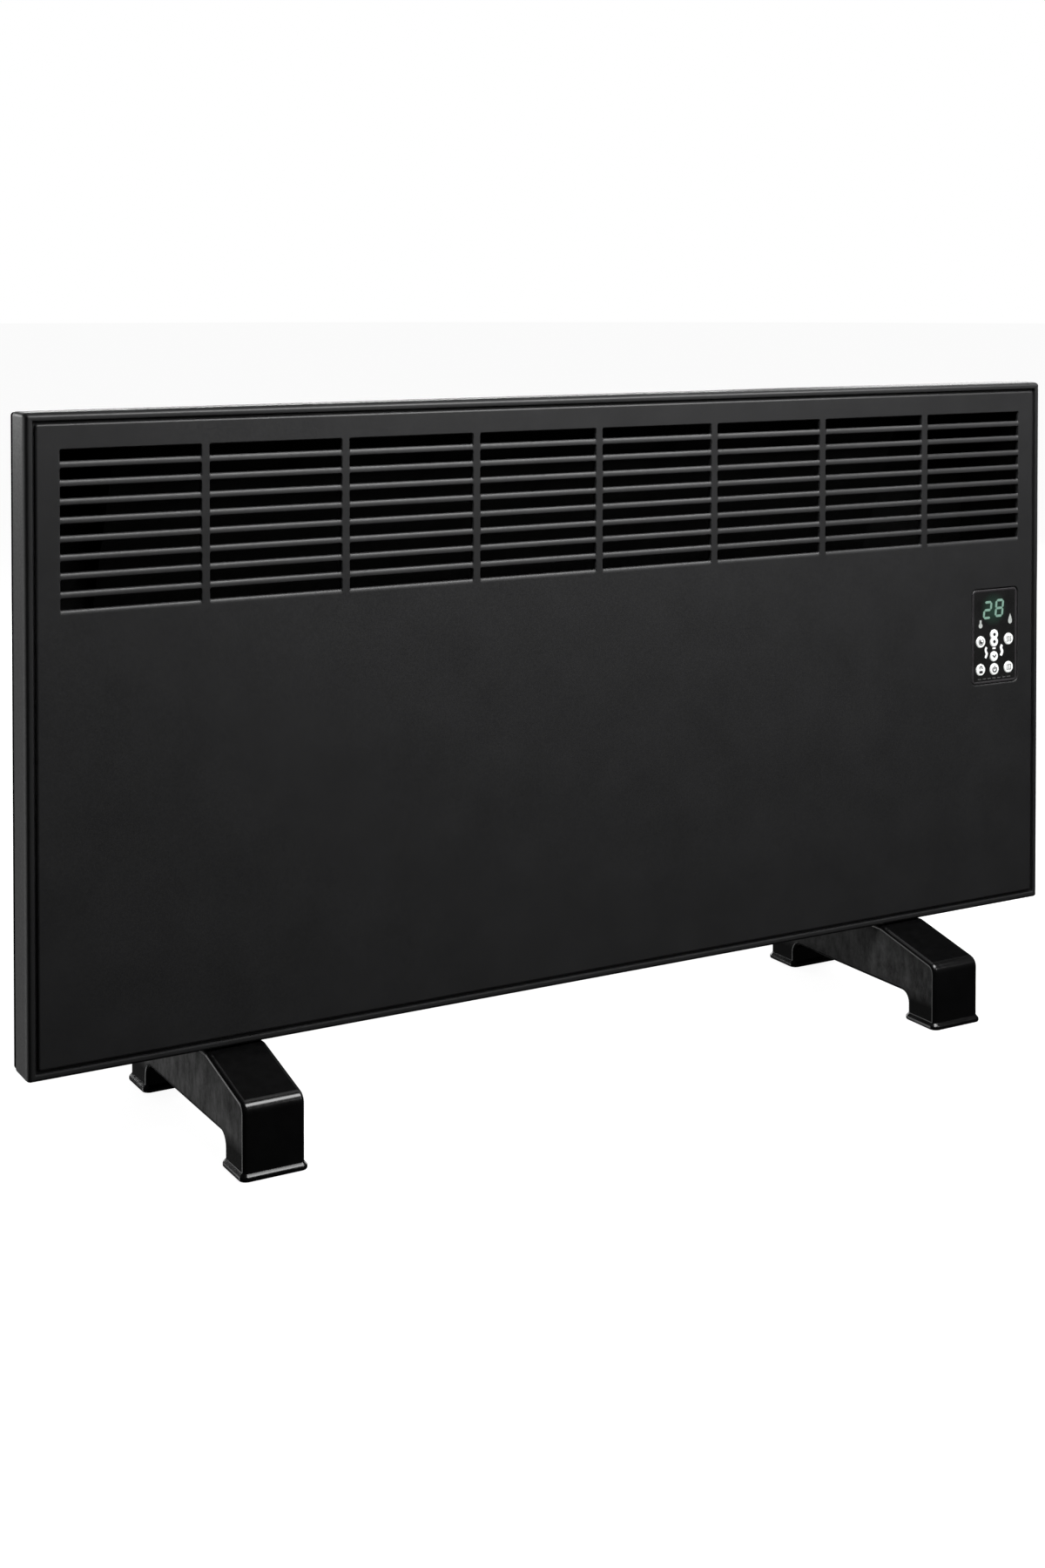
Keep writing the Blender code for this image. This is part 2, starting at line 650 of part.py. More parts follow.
def make_thermal_cutout():
    """A disc thermostat on a flat tab, above the upper element."""
    x, z = 0.285, ELEMENT_Z["upper"] + 0.050
    y = 0.026
    body = cylinder("thermal_cutout", 0.008, (x, y - 0.010, z), (x, y, z), 20)
    tab = box("cutout_tab", (x - 0.012, y - 0.001, z - 0.006), (x + 0.012, y + 0.0004, z + 0.006))
    blades = many_boxes("cutout_blades", [((x + s * 0.004 - 0.0004, y - 0.018, z - 0.003),
                                           (x + s * 0.004 + 0.0004, y - 0.009, z + 0.003)) for s in (-1, 1)])
    return paint(join(body, tab, blades), (0.12, 0.11, 0.10), 0.5)


def make_room_sensor():
    """The room temperature probe in its clip, low in the intake air."""
    x, y, z = 0.372, -0.020, CASING_BOTTOM + SHEET + GAP
    clip = box("room_sensor", (x - 0.004, y - 0.004, z), (x + 0.004, y + 0.004, z + 0.006))
    probe = cylinder("sensor_probe", 0.0025, (x, y, z + 0.003), (x, y, z + 0.024), 16)
    return paint(join(clip, probe), (0.75, 0.75, 0.72), 0.45)


# ---------------------------------------------------------------- controls
LENS_FRONT_Y = PANEL_FRONT_Y + 0.0004
LENS_BACK_Y = LENS_FRONT_Y + 0.0015
KEY_FRONT_Y = LENS_FRONT_Y - KEY_PROUD
BOARD_FRONT_Y = -0.0372
BOARD_THICKNESS = 0.0016
BOX_OUTER = (0.0635, 0.105)
BOX_CENTRE_X = 0.39975
BOX_BACK_Y = -0.012
BOX_WALL = 0.002
POWER_BOARD_Y = -0.0175

# Key centres from the overlay's left edge and down from its top edge.
KEY_PLACES = {
    "up_key": (0.0248, 0.0424),
    "timer_key": (0.0098, 0.0446),
    "mode_key": (0.0412, 0.0442),
    "down_key": (0.0248, 0.0581),
    "lock_key": (0.0098, 0.0686),
    "power_key": (0.0252, 0.0692),
    "window_key": (0.0412, 0.0686),
}
SMALL_KEYS = ("up_key", "down_key")
DISPLAY_PLACE = (0.0238, 0.0170)
DISPLAY_SIZE = (0.0300, 0.0210)


def on_overlay(place):
    """World X and Z of a place given from the overlay's top left corner."""
    across, down = place
    return OVERLAY_X - OVERLAY_W / 2 + across, OVERLAY_Z + OVERLAY_H / 2 - down


def key_outline(name, growth, centre=(0.0, 0.0)):
    """A circle, or for the up key two overlapping circles, one above the other."""
    radius = (SMALL_KEY_RADIUS if name in SMALL_KEYS else KEY_RADIUS) + growth
    if name != "up_key":
        return arc(centre, radius, 0, 345, 23)
    waist = math.degrees(math.asin(UP_KEY_LOBE / radius))
    x, y = centre
    upper = arc((x, y + UP_KEY_LOBE), radius, -waist, 180 + waist, 14)
    lower = arc((x, y - UP_KEY_LOBE), radius, 180 - waist, 360 + waist, 14)
    return upper + lower[1:-1]


def make_control_overlay():
    """The glossy cover of the controls, with a hole for each key."""
    outlines = [rounded_rectangle(OVERLAY_W, OVERLAY_H, OVERLAY_CORNER)]
    for name, (across, down) in KEY_PLACES.items():
        outlines.append(key_outline(name, GAP, (across - OVERLAY_W / 2, OVERLAY_H / 2 - down)))
    middle = (OVERLAY_X, (LENS_FRONT_Y + LENS_BACK_Y) / 2, OVERLAY_Z)
    return gloss_black(flat_solid("control_overlay", outlines, LENS_BACK_Y - LENS_FRONT_Y, middle, FACING_FRONT))


def make_key(name):
    """A key: cap through the overlay, retaining flange and stem behind it."""
    x, z = on_overlay(KEY_PLACES[name])
    flange_front = LENS_BACK_Y + GAP
    flange_back = flange_front + KEY_FLANGE_THICKNESS
    cap_back = flange_front + KEY_ROOT
    key = flat_solid(name, [key_outline(name, 0.0)], cap_back - KEY_FRONT_Y,
                     (x, (KEY_FRONT_Y + cap_back) / 2, z), FACING_FRONT)
    flange = flat_solid(name + "_flange", [key_outline(name, KEY_FLANGE)], flange_back - flange_front,
                        (x, (flange_front + flange_back) / 2, z), FACING_FRONT)
    stem = cylinder(name + "_stem", KEY_STEM_RADIUS, (x, flange_back - KEY_ROOT, z),
                    (x, flange_back + KEY_STEM_LENGTH, z), 12)
    return white_plastic(join(key, flange, stem))


def make_digit_display():
    x, z = on_overlay(DISPLAY_PLACE)
    half_w, half_h = DISPLAY_SIZE[0] / 2, DISPLAY_SIZE[1] / 2
    display = box("digit_display", (x - half_w, LENS_BACK_Y + GAP, z - half_h),
                  (x + half_w, BOARD_FRONT_Y - GAP, z + half_h))
    return paint(bevel(display, 0.0004, 1), (0.03, 0.05, 0.04), 0.3)


def make_display_board():
    """The board behind the overlay, with a push switch under each key."""
    board = box("display_board", (OVERLAY_X - 0.0285, BOARD_FRONT_Y, OVERLAY_Z - 0.048),
                (OVERLAY_X + 0.0270, BOARD_FRONT_Y + BOARD_THICKNESS, OVERLAY_Z + 0.048))
    switches = []
    for name in KEY_PLACES:
        x, z = on_overlay(KEY_PLACES[name])
        switches.append(((x - 0.0028, BOARD_FRONT_Y - 0.0010, z - 0.0028),
                         (x + 0.0028, BOARD_FRONT_Y + 0.0005, z + 0.0028)))
    return board_green(join(board, many_boxes("push_switches", switches)))


def make_control_box():
    """An open-fronted tray that holds both boards behind the front panel."""
    half_w, half_h = BOX_OUTER[0] / 2, BOX_OUTER[1] / 2
    front_y = PANEL_BACK_Y + GAP
    tray = box("control_box", (BOX_CENTRE_X - half_w, front_y, OVERLAY_Z - half_h),
               (BOX_CENTRE_X + half_w, BOX_BACK_Y, OVERLAY_Z + half_h))
    hollow = box("box_hollow", (BOX_CENTRE_X - half_w + BOX_WALL, front_y - 0.01, OVERLAY_Z - half_h + BOX_WALL),
                 (BOX_CENTRE_X + half_w - BOX_WALL, BOX_BACK_Y - BOX_WALL, OVERLAY_Z + half_h - BOX_WALL))
    cut(tray, hollow)
    posts = []
    for side_x in (-1, 1):
        for side_z in (-1, 1):
            x, z = BOX_CENTRE_X + side_x * 0.0262, OVERLAY_Z + side_z * 0.0450
            posts.append(((x - 0.002, BOARD_FRONT_Y + BOARD_THICKNESS + GAP, z - 0.002),
                          (x + 0.002, BOX_BACK_Y - BOX_WALL / 2, z + 0.002)))
            x, z = BOX_CENTRE_X + side_x * 0.0180, OVERLAY_Z + side_z * 0.0360
            posts.append(((x - 0.002, POWER_BOARD_Y + BOARD_THICKNESS + GAP, z - 0.002),
                          (x + 0.002, BOX_BACK_Y - BOX_WALL / 2, z + 0.002)))
    join(tray, many_boxes("box_posts", posts))
    wire_way = box("wire_way", (BOX_CENTRE_X - half_w - 0.01, -0.030, OVERLAY_Z - 0.030),
                   (BOX_CENTRE_X - half_w + 0.006, -0.020, OVERLAY_Z - 0.014))
    mains_way = box("mains_way", (BOX_CENTRE_X - 0.010, -0.030, OVERLAY_Z - half_h - 0.01),
                    (BOX_CENTRE_X + 0.012, -0.020, OVERLAY_Z - half_h + 0.006))
    return black_plastic(cut(tray, wire_way, mains_way))


def make_power_board():
    board = box("power_board", (BOX_CENTRE_X - 0.0235, POWER_BOARD_Y, OVERLAY_Z - 0.042),
                (BOX_CENTRE_X + 0.0235, POWER_BOARD_Y + BOARD_THICKNESS, OVERLAY_Z + 0.042))
    return board_green(board)


def on_power_board(name, centre, width, height, depth):
    """A block that stands on the power board, facing the front."""
    x, z = BOX_CENTRE_X + centre[0], OVERLAY_Z + centre[1]
    back_y = POWER_BOARD_Y - GAP
    return box(name, (x - width / 2, back_y - depth, z - height / 2), (x + width / 2, back_y, z + height / 2))


def make_power_parts():
    for name, z in (("relay_lower", -0.002), ("relay_upper", 0.018)):
        relay = bevel(on_power_board(name, (-0.010, z), 0.019, 0.0155, 0.0150), 0.0005, 1)
        paint(relay, (0.02, 0.05, 0.16), 0.35)
    transformer = bevel(on_power_board("transformer", (0.012, 0.014), 0.018, 0.022, 0.0145), 0.001, 1)
    paint(transformer, (0.55, 0.42, 0.08), 0.5)
    terminals = on_power_board("terminal_block", (0.0, -0.030), 0.036, 0.010, 0.0105)
    ways = [((BOX_CENTRE_X - 0.015 + 0.010 * way - 0.003, POWER_BOARD_Y - 0.0125, OVERLAY_Z - 0.0335),
             (BOX_CENTRE_X - 0.015 + 0.010 * way + 0.003, POWER_BOARD_Y - 0.0040, OVERLAY_Z - 0.0265))
            for way in range(4)]
    cut(terminals, many_boxes("terminal_ways", ways))
    paint(terminals, (0.05, 0.30, 0.12), 0.4)


# ---------------------------------------------------------------- mains switch
ROCKER_TILT = 10.0
ROCKER_X = CASING_SIDE_X + 0.0010
ROCKER_HALF_Y = 0.0042


def make_power_switch():
    """The switch body: a bezel outside the casing's side wall and a block inside it."""
    bezel_in, bezel_out = CASING_SIDE_X + GAP, CASING_SIDE_X + 0.0022
    block = box("power_switch_body", (CASING_SIDE_X - 0.015, SWITCH_Y - SWITCH_HALF_Y, SWITCH_Z - SWITCH_HALF_Z),
                (bezel_out - 0.0005, SWITCH_Y + SWITCH_HALF_Y, SWITCH_Z + SWITCH_HALF_Z))
    bezel = box("switch_bezel", (bezel_in, SWITCH_Y - SWITCH_HALF_Y - 0.0018, SWITCH_Z - SWITCH_HALF_Z - 0.0018),
                (bezel_out, SWITCH_Y + SWITCH_HALF_Y + 0.0018, SWITCH_Z + SWITCH_HALF_Z + 0.0018))
    pocket = box("switch_pocket",
                 (ROCKER_X - 0.0050, SWITCH_Y - ROCKER_HALF_Y - GAP, SWITCH_Z - 0.0087),
                 (bezel_out + 0.01, SWITCH_Y + ROCKER_HALF_Y + GAP, SWITCH_Z + 0.0087))
    blades = [((CASING_SIDE_X - 0.023, SWITCH_Y - 0.0024, SWITCH_Z + step - 0.0004),
               (CASING_SIDE_X - 0.014, SWITCH_Y + 0.0024, SWITCH_Z + step + 0.0004)) for step in (-0.006, 0.001)]
    return black_plastic(cut(join(block, bezel, many_boxes("switch_blades", blades)), pocket))


def make_rocker():
    """The rocker, modelled tipped to its on side about an axis along Y."""
    outline = [(-0.0074, 0.0040), (0.0, 0.0014), (0.0074, 0.0040), (0.0070, -0.0010), (0.0, -0.0035),
               (-0.0070, -0.0010)]
    along_wall = [(height, across) for across, height in outline]
    rocker = flat_solid("power_rocker", [along_wall], 2 * ROCKER_HALF_Y, (ROCKER_X, SWITCH_Y, SWITCH_Z),
                        Euler((math.pi / 2, -math.radians(ROCKER_TILT), 0.0)))
    return paint(rocker, (0.02, 0.02, 0.02), 0.35)


# ---------------------------------------------------------------- tip-over switch
TIP_X = 0.396
TIP_Y = 0.004
TIP_PIVOT_Z = CASING_BOTTOM + 0.058
TIP_EAR_HALF = 0.0100
TIP_PIN_RADIUS = 0.0015


def make_tip_bracket():
    """A folded bracket whose two ears carry the pendulum's pin."""
    base_z = CASING_BOTTOM + SHEET + GAP
    base = box("tip_switch_bracket", (TIP_X - TIP_EAR_HALF, TIP_Y - 0.010, base_z),
               (TIP_X + TIP_EAR_HALF, TIP_Y + 0.010, base_z + BRACKET_SHEET))
    for label, side in (("left", -1), ("right", 1)):
        near, far = sorted((side * (TIP_EAR_HALF - BRACKET_SHEET), side * TIP_EAR_HALF))
        join(base, box("tip_ear_" + label, (TIP_X + near, TIP_Y - 0.0096, base_z + 0.0004),
                       (TIP_X + far, TIP_Y + 0.0096, TIP_PIVOT_Z + 0.007)))
    hole = cylinder("tip_pin_hole", TIP_PIN_RADIUS + GAP, (TIP_X - 0.02, TIP_Y, TIP_PIVOT_Z),
                    (TIP_X + 0.02, TIP_Y, TIP_PIVOT_Z), 24)
    return zinc(cut(base, hole))


def make_tip_pendulum():
    """The pendulum that opens the circuit when the heater falls over."""
    pin = cylinder("tip_switch_pendulum", TIP_PIN_RADIUS, (TIP_X - 0.0118, TIP_Y, TIP_PIVOT_Z),
                   (TIP_X + 0.0118, TIP_Y, TIP_PIVOT_Z), 24)
    stem = box("pendulum_stem", (TIP_X - 0.002, TIP_Y - 0.002, TIP_PIVOT_Z - 0.030),
               (TIP_X + 0.002, TIP_Y + 0.002, TIP_PIVOT_Z + 0.0016))
    bob = cylinder("pendulum_bob", 0.0075, (TIP_X, TIP_Y, TIP_PIVOT_Z - 0.042),
                   (TIP_X, TIP_Y, TIP_PIVOT_Z - 0.028), 24)
    return zinc(join(pin, stem, bob))


def make_tip_microswitch():
    x = TIP_X - TIP_EAR_HALF - GAP
    body = box("tip_microswitch", (x - 0.0065, TIP_Y - 0.010, TIP_PIVOT_Z - 0.022),
               (x, TIP_Y + 0.010, TIP_PIVOT_Z - 0.010))
    return black_plastic(bevel(body, 0.0005, 1))


# ---------------------------------------------------------------- inner wiring
def make_wires():
    """Fixed leads inside the casing; each ends just short of the piece that it feeds."""
    red, blue, white = (0.35, 0.02, 0.02), (0.02, 0.05, 0.30), (0.6, 0.6, 0.6)
    tip_x = ELEMENT_RIGHT_X + COLLAR_LENGTH + 0.012 + 3 * GAP
    box_left = BOX_CENTRE_X - BOX_OUTER[0] / 2
    for level, colour, way, reach in (("upper", red, -0.018, 0.008), ("lower", blue, -0.024, 0.015)):
        z = ELEMENT_Z[level]
        wire("element_lead_" + level, [(tip_x, ELEMENT_Y, z), (tip_x + 0.004, ELEMENT_Y - 0.001, z + 0.001),
                                       (tip_x + reach, -0.012, z + 0.016),
                                       (tip_x + reach, -0.024, OVERLAY_Z + way - 0.014),
                                       (box_left - 0.004, -0.0252, OVERLAY_Z + way),
                                       (box_left + 0.004, -0.0252, OVERLAY_Z + way)], 0.0012, colour)
    wire("sensor_lead", [(0.372, -0.020, CASING_BOTTOM + SHEET + 0.0256), (0.372, -0.021, CASING_BOTTOM + 0.040),
                         (0.380, -0.025, CASING_BOTTOM + 0.090), (0.395, -0.026, OVERLAY_Z - 0.065),
                         (0.395, -0.026, OVERLAY_Z - 0.048)], 0.0010, white)


# ---------------------------------------------------------------- assembly
def build():
    make_front_panel()
    make_front_frame()
    make_rear_casing()
    make_casing_screws()
    make_cable_gland()
    make_feet()
    for level in ELEMENT_Z:
        make_heating_element(level)
        for side in ("left", "right"):
            make_end_insulator(level, side)
    for side in ("left", "right"):
        make_element_bracket(side)
    make_heat_shield()
    make_thermal_cutout()
    make_room_sensor()
    make_control_overlay()
    for name in KEY_PLACES:
        make_key(name)
    make_digit_display()
    make_display_board()
    make_control_box()
    make_power_board()
    make_power_parts()
    make_power_switch()
    make_rocker()
    make_tip_bracket()
    make_tip_pendulum()
    make_tip_microswitch()
    make_wires()


build()
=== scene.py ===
"""Flat panel heater on two feet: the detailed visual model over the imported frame. Metres throughout."""
import math

import bmesh
import bpy
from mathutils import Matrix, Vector
from mathutils.bvhtree import BVHTree
from mathutils.geometry import tessellate_polygon


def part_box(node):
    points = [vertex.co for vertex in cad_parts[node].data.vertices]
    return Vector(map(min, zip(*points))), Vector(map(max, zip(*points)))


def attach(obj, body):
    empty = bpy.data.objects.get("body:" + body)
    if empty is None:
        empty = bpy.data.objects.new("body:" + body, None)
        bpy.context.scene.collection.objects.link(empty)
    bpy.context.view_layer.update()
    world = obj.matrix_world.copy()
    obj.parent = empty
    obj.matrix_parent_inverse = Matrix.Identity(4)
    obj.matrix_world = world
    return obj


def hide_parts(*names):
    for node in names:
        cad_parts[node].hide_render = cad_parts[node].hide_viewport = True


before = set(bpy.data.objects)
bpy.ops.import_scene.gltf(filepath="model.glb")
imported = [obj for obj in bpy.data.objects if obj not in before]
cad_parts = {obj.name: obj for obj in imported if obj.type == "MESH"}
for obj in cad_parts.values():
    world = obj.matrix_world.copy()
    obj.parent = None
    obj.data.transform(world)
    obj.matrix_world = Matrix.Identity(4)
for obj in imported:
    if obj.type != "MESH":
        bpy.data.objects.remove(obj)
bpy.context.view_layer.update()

SCENE = bpy.context.scene


# Camera: a little above the top edge, left of the middle, looking along the panel.

CAMERA_PLACE = (-0.8858, -1.4683, 0.6070)
CAMERA_TURN = (math.radians(88.67), 0.0, math.radians(-29.85))


def make_camera():
    data = bpy.data.cameras.new("camera")
    data.sensor_width = 36.0
    data.lens = 50.28
    data.shift_y = -0.2889
    data.clip_start = 0.01
    data.clip_end = 60.0
    camera = bpy.data.objects.new("camera", data)
    camera.location = CAMERA_PLACE
    camera.rotation_euler = CAMERA_TURN
    SCENE.collection.objects.link(camera)
    SCENE.camera = camera


make_camera()


# Sizes repeated from the CAD, where a node's box doesn't give them.

CLEARANCE = 0.0003
RIM_W = 0.0055
GROOVE_W = 0.002
RIM_RADIUS = 0.003
SLOT_COLUMNS = 8
SLOT_ROWS = 9
SLOT_W = 0.1005
SLOT_H = 0.0077
SLOT_PITCH_X = 0.1072
SLOT_PITCH_Z = 0.01256
FIRST_SLOT_BELOW_TOP = 0.0253
OVERLAY_CORNER = 0.004
FOOT_X = 0.300
FOOT_W = 0.0456
FOOT_SHOULDER_Z = 0.0525
FOOT_SCREW_Y = (0.002, 0.027)
LEG_DEPTH = 0.034
ARCH_Z = 0.0215
ARCH_FILLET = 0.008
SHEET = 0.001
CASING_W = 0.868
CASING_H = 0.438
FLANGE_FRONT_Y = -0.0097
FLANGE_BACK_Y = -0.0085
KEYHOLE_X = 0.290
KEYHOLE_BELOW_TOP = 0.075
CASING_SCREW_X = 0.4415
CASING_SCREW_MARGIN = 0.055
GLAND_X = 0.374
GLAND_RISE = 0.032
SWITCH_Y = 0.014
SWITCH_RISE = 0.060
BACK_VENT_RISES = (0.060, 0.074, 0.088)
BOTTOM_VENT_Y = (-0.002, 0.010, 0.022)
VENT_COLUMNS = 9
VENT_PITCH = 0.052

# Sizes of the details that only this model has.

RIM_EDGE_DEPTH = 0.0062
FRAME_LIP = 0.0068
SLOT_ROLL_X = 0.0010
SLOT_ROLL_ABOVE = 0.0010
SLOT_ROLL_BELOW = 0.0033
SLOT_ROLL_DEPTH = 0.0017
FOOT_ROUNDING = 0.0034
FOOT_FLARE = 0.0023
FOOT_WALL = 0.003
TRAY_FRONT_Y = -0.0399
TRAY_BEND = 0.0032
RIB_RISES = (0.160, 0.210, 0.260, 0.310)
RIB_HALF_LENGTH = 0.330
RIB_HALF_HEIGHT = 0.0060

BODY_LOW, BODY_HIGH = (Vector(corner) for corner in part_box("front_frame"))
PANEL_LOW, PANEL_HIGH = (Vector(corner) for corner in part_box("front_panel"))
CASING_LOW, CASING_HIGH = (Vector(corner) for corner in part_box("rear_casing"))
OVERLAY_LOW, OVERLAY_HIGH = (Vector(corner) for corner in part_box("control_overlay"))
BODY_MID_Z = (BODY_LOW.z + BODY_HIGH.z) / 2
BODY_HALF_W = (BODY_HIGH.x - BODY_LOW.x) / 2
BODY_HALF_H = (BODY_HIGH.z - BODY_LOW.z) / 2
OVERLAY_MIDDLE = ((OVERLAY_LOW.x + OVERLAY_HIGH.x) / 2, (OVERLAY_LOW.z + OVERLAY_HIGH.z) / 2)
OVERLAY_HALF_W = (OVERLAY_HIGH.x - OVERLAY_LOW.x) / 2
OVERLAY_HALF_H = (OVERLAY_HIGH.z - OVERLAY_LOW.z) / 2
OVERLAY_GLASS_Y = OVERLAY_LOW.y + 0.0003
DISPLAY_PLACE = (0.0240, 0.0172)


def on_overlay(place, y):
    """A place given from the overlay's left edge and down from its top edge."""
    return (OVERLAY_LOW.x + place[0], y, OVERLAY_HIGH.z - place[1])


# Meshes

def rounded_ring(half_w, half_h, radius, centre=(0.0, 0.0), steps=5):
    """Points round a rounded rectangle, anticlockwise."""
    points = []
    for corner, (side_x, side_y) in enumerate(((1, 1), (-1, 1), (-1, -1), (1, -1))):
        middle_x = centre[0] + side_x * (half_w - radius)
        middle_y = centre[1] + side_y * (half_h - radius)
        for step in range(steps + 1):
            angle = math.radians(90.0 * (corner + step / steps))
            points.append((middle_x + radius * math.cos(angle), middle_y + radius * math.sin(angle)))
    return points


def quarter_turns(steps):
    return [math.radians(90.0 * step / steps) for step in range(steps + 1)]


def circle_ring(radius, centre=(0.0, 0.0), steps=24):
    turns = [2 * math.pi * step / steps for step in range(steps)]
    return [(centre[0] + radius * math.cos(turn), centre[1] + radius * math.sin(turn)) for turn in turns]


def in_front_plane(points, y):
    return [(x, y, z) for x, z in points]


def in_level_plane(points, z):
    return [(x, y, z) for x, y in points]


def in_side_plane(points, x):
    return [(x, y, z) for y, z in points]


def add_loop(shape, points):
    return [shape.verts.new(point) for point in points]


def bridge(shape, first, second):
    count = len(first)
    for index in range(count):
        after = (index + 1) % count
        shape.faces.new((first[index], first[after], second[after], second[index]))


def fill(shape, loops, material_index=0):
    """Flat faces inside the first loop and outside the others."""
    corners = [corner for loop in loops for corner in loop]
    for triangle in tessellate_polygon([[corner.co for corner in loop] for loop in loops]):
        face = shape.faces.new([corners[index] for index in triangle])
        face.material_index = material_index


def loft(shape, rings, cap_first=False, cap_last=False):
    loops = [add_loop(shape, ring) for ring in rings]
    for first, second in zip(loops, loops[1:]):
        bridge(shape, first, second)
    if cap_first:
        fill(shape, [loops[0]])
    if cap_last:
        fill(shape, [loops[-1]])
    return loops


def paint_faces(shape, index, chosen):
    """Gives the faces whose middle is chosen another of the piece's materials."""
    for face in shape.faces:
        if chosen(face.calc_center_median()):
            face.material_index = index


def smooth_faces(mesh):
    for polygon in mesh.polygons:
        polygon.use_smooth = True
    mesh.set_sharp_from_angle(angle=math.radians(35.0))


def to_mesh(shape, name, facing=None):
    bmesh.ops.recalc_face_normals(shape, faces=shape.faces)
    if facing is not None:
        lean = sum(face.normal.dot(facing) * face.calc_area() for face in shape.faces)
        if lean < 0:
            bmesh.ops.reverse_faces(shape, faces=shape.faces)
    mesh = bpy.data.meshes.new(name)
    shape.to_mesh(mesh)
    shape.free()
    smooth_faces(mesh)
    return mesh


def add_object(name, mesh, *materials):
    piece = bpy.data.objects.new(name, mesh)
    SCENE.collection.objects.link(piece)
    for material in materials:
        mesh.materials.append(material)
    return piece


def add_piece(shape, name, *materials, body="heater", facing=None):
    piece = add_object(name, to_mesh(shape, name, facing), *materials)
    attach(piece, body)
    return piece


def bar(shape, laid, ring, first, last):
    """A closed prism: the ring laid in its plane at two heights and joined."""
    loft(shape, [laid(ring, first), laid(ring, last)], True, True)


def block(shape, low, high):
    ring = [(low[0], low[1]), (high[0], low[1]), (high[0], high[1]), (low[0], high[1])]
    bar(shape, in_level_plane, ring, low[2], high[2])


def boolean(piece, shape, operation):
    """Applies an exact Boolean with the given shape."""
    tool = add_object(piece.name + "_tool", to_mesh(shape, piece.name + "_tool"))
    change = piece.modifiers.new("change", "BOOLEAN")
    change.solver = "EXACT"
    change.operation = operation
    change.object = tool
    bpy.context.view_layer.update()
    result = bpy.data.meshes.new_from_object(piece.evaluated_get(bpy.context.evaluated_depsgraph_get()))
    piece.modifiers.clear()
    old = piece.data
    piece.data = result
    bpy.data.meshes.remove(old)
    bpy.data.objects.remove(tool, do_unlink=True)
    smooth_faces(result)


def soften(piece, width):
    """Rounds the edges of a piece or CAD node."""
    rounding = piece.modifiers.new("rounded_edges", "BEVEL")
    rounding.width = width
    rounding.segments = 2
    rounding.limit_method = "ANGLE"
    rounding.angle_limit = math.radians(40.0)
    rounding.harden_normals = True
    rounding.miter_outer = "MITER_ARC"


def keep_flats_flat(piece):
    """Weights the shading normals by face area, so that only the rounded edges shade as curves."""
    weighting = piece.modifiers.new("flat_faces", "WEIGHTED_NORMAL")
    weighting.keep_sharp = True


# Materials

def new_material(name):
    material = bpy.data.materials.new(name)
    material.use_nodes = True
    nodes = material.node_tree.nodes
    return material, nodes, material.node_tree.links, nodes["Principled BSDF"]


def object_noise(nodes, links, scale, detail=3.0, roughness=0.55, stretch=(1.0, 1.0, 1.0)):
    place = nodes.new("ShaderNodeTexCoord")
    mapping = nodes.new("ShaderNodeMapping")
    mapping.inputs["Scale"].default_value = stretch
    texture = nodes.new("ShaderNodeTexNoise")
    texture.inputs["Scale"].default_value = scale
    texture.inputs["Detail"].default_value = detail
    texture.inputs["Roughness"].default_value = roughness
    links.new(place.outputs["Object"], mapping.inputs["Vector"])
    links.new(mapping.outputs["Vector"], texture.inputs["Vector"])
    return texture.outputs["Fac"]


def spread(nodes, links, value, low, high, start=0.3, end=0.7):
    scaled = nodes.new("ShaderNodeMapRange")
    scaled.inputs["From Min"].default_value = start
    scaled.inputs["From Max"].default_value = end
    scaled.inputs["To Min"].default_value = low
    scaled.inputs["To Max"].default_value = high
    links.new(value, scaled.inputs["Value"])
    return scaled.outputs["Result"]


def blend_colours(nodes, links, amount, first, second):
    mixed = nodes.new("ShaderNodeMix")
    mixed.data_type = "RGBA"
    links.new(amount, mixed.inputs["Factor"])
    for socket, colour in ((mixed.inputs["A"], first), (mixed.inputs["B"], second)):
        if isinstance(colour, bpy.types.NodeSocket):
            links.new(colour, socket)
        else:
            socket.default_value = (*colour, 1.0)
    return mixed.outputs["Result"]


def grain_bump(nodes, links, shader, grain, depth):
    bump = nodes.new("ShaderNodeBump")
    bump.inputs["Strength"].default_value = 0.6
    bump.inputs["Distance"].default_value = depth
    links.new(grain, bump.inputs["Height"])
    links.new(bump.outputs["Normal"], shader.inputs["Normal"])


def surface(name, colour, roughness, specular=0.5, metallic=0.0, variation=0.18, mottle_scale=30.0,
            roughness_spread=0.06, grain_scale=900.0, grain_depth=0.00002, stretch=(1.0, 1.0, 1.0), glow=0.0):
    """A finish with an uneven colour and gloss, and a fine grain. Glow is painted light that the surface gives
    off itself.
    """
    material, nodes, links, shader = new_material(name)
    mottle = object_noise(nodes, links, mottle_scale, stretch=stretch)
    dark = [channel * (1.0 - variation) for channel in colour]
    light = [min(1.0, channel * (1.0 + variation)) for channel in colour]
    amount = spread(nodes, links, mottle, 0.0, 1.0)
    links.new(blend_colours(nodes, links, amount, dark, light), shader.inputs["Base Color"])
    grain = object_noise(nodes, links, grain_scale, detail=2.0, stretch=stretch)
    links.new(spread(nodes, links, grain, roughness - roughness_spread, roughness + roughness_spread),
              shader.inputs["Roughness"])
    grain_bump(nodes, links, shader, grain, grain_depth)
    shader.inputs["Metallic"].default_value = metallic
    shader.inputs["Specular IOR Level"].default_value = specular
    shader.inputs["Emission Color"].default_value = (0.96, 1.0, 0.98, 1.0)
    shader.inputs["Emission Strength"].default_value = glow
    return material


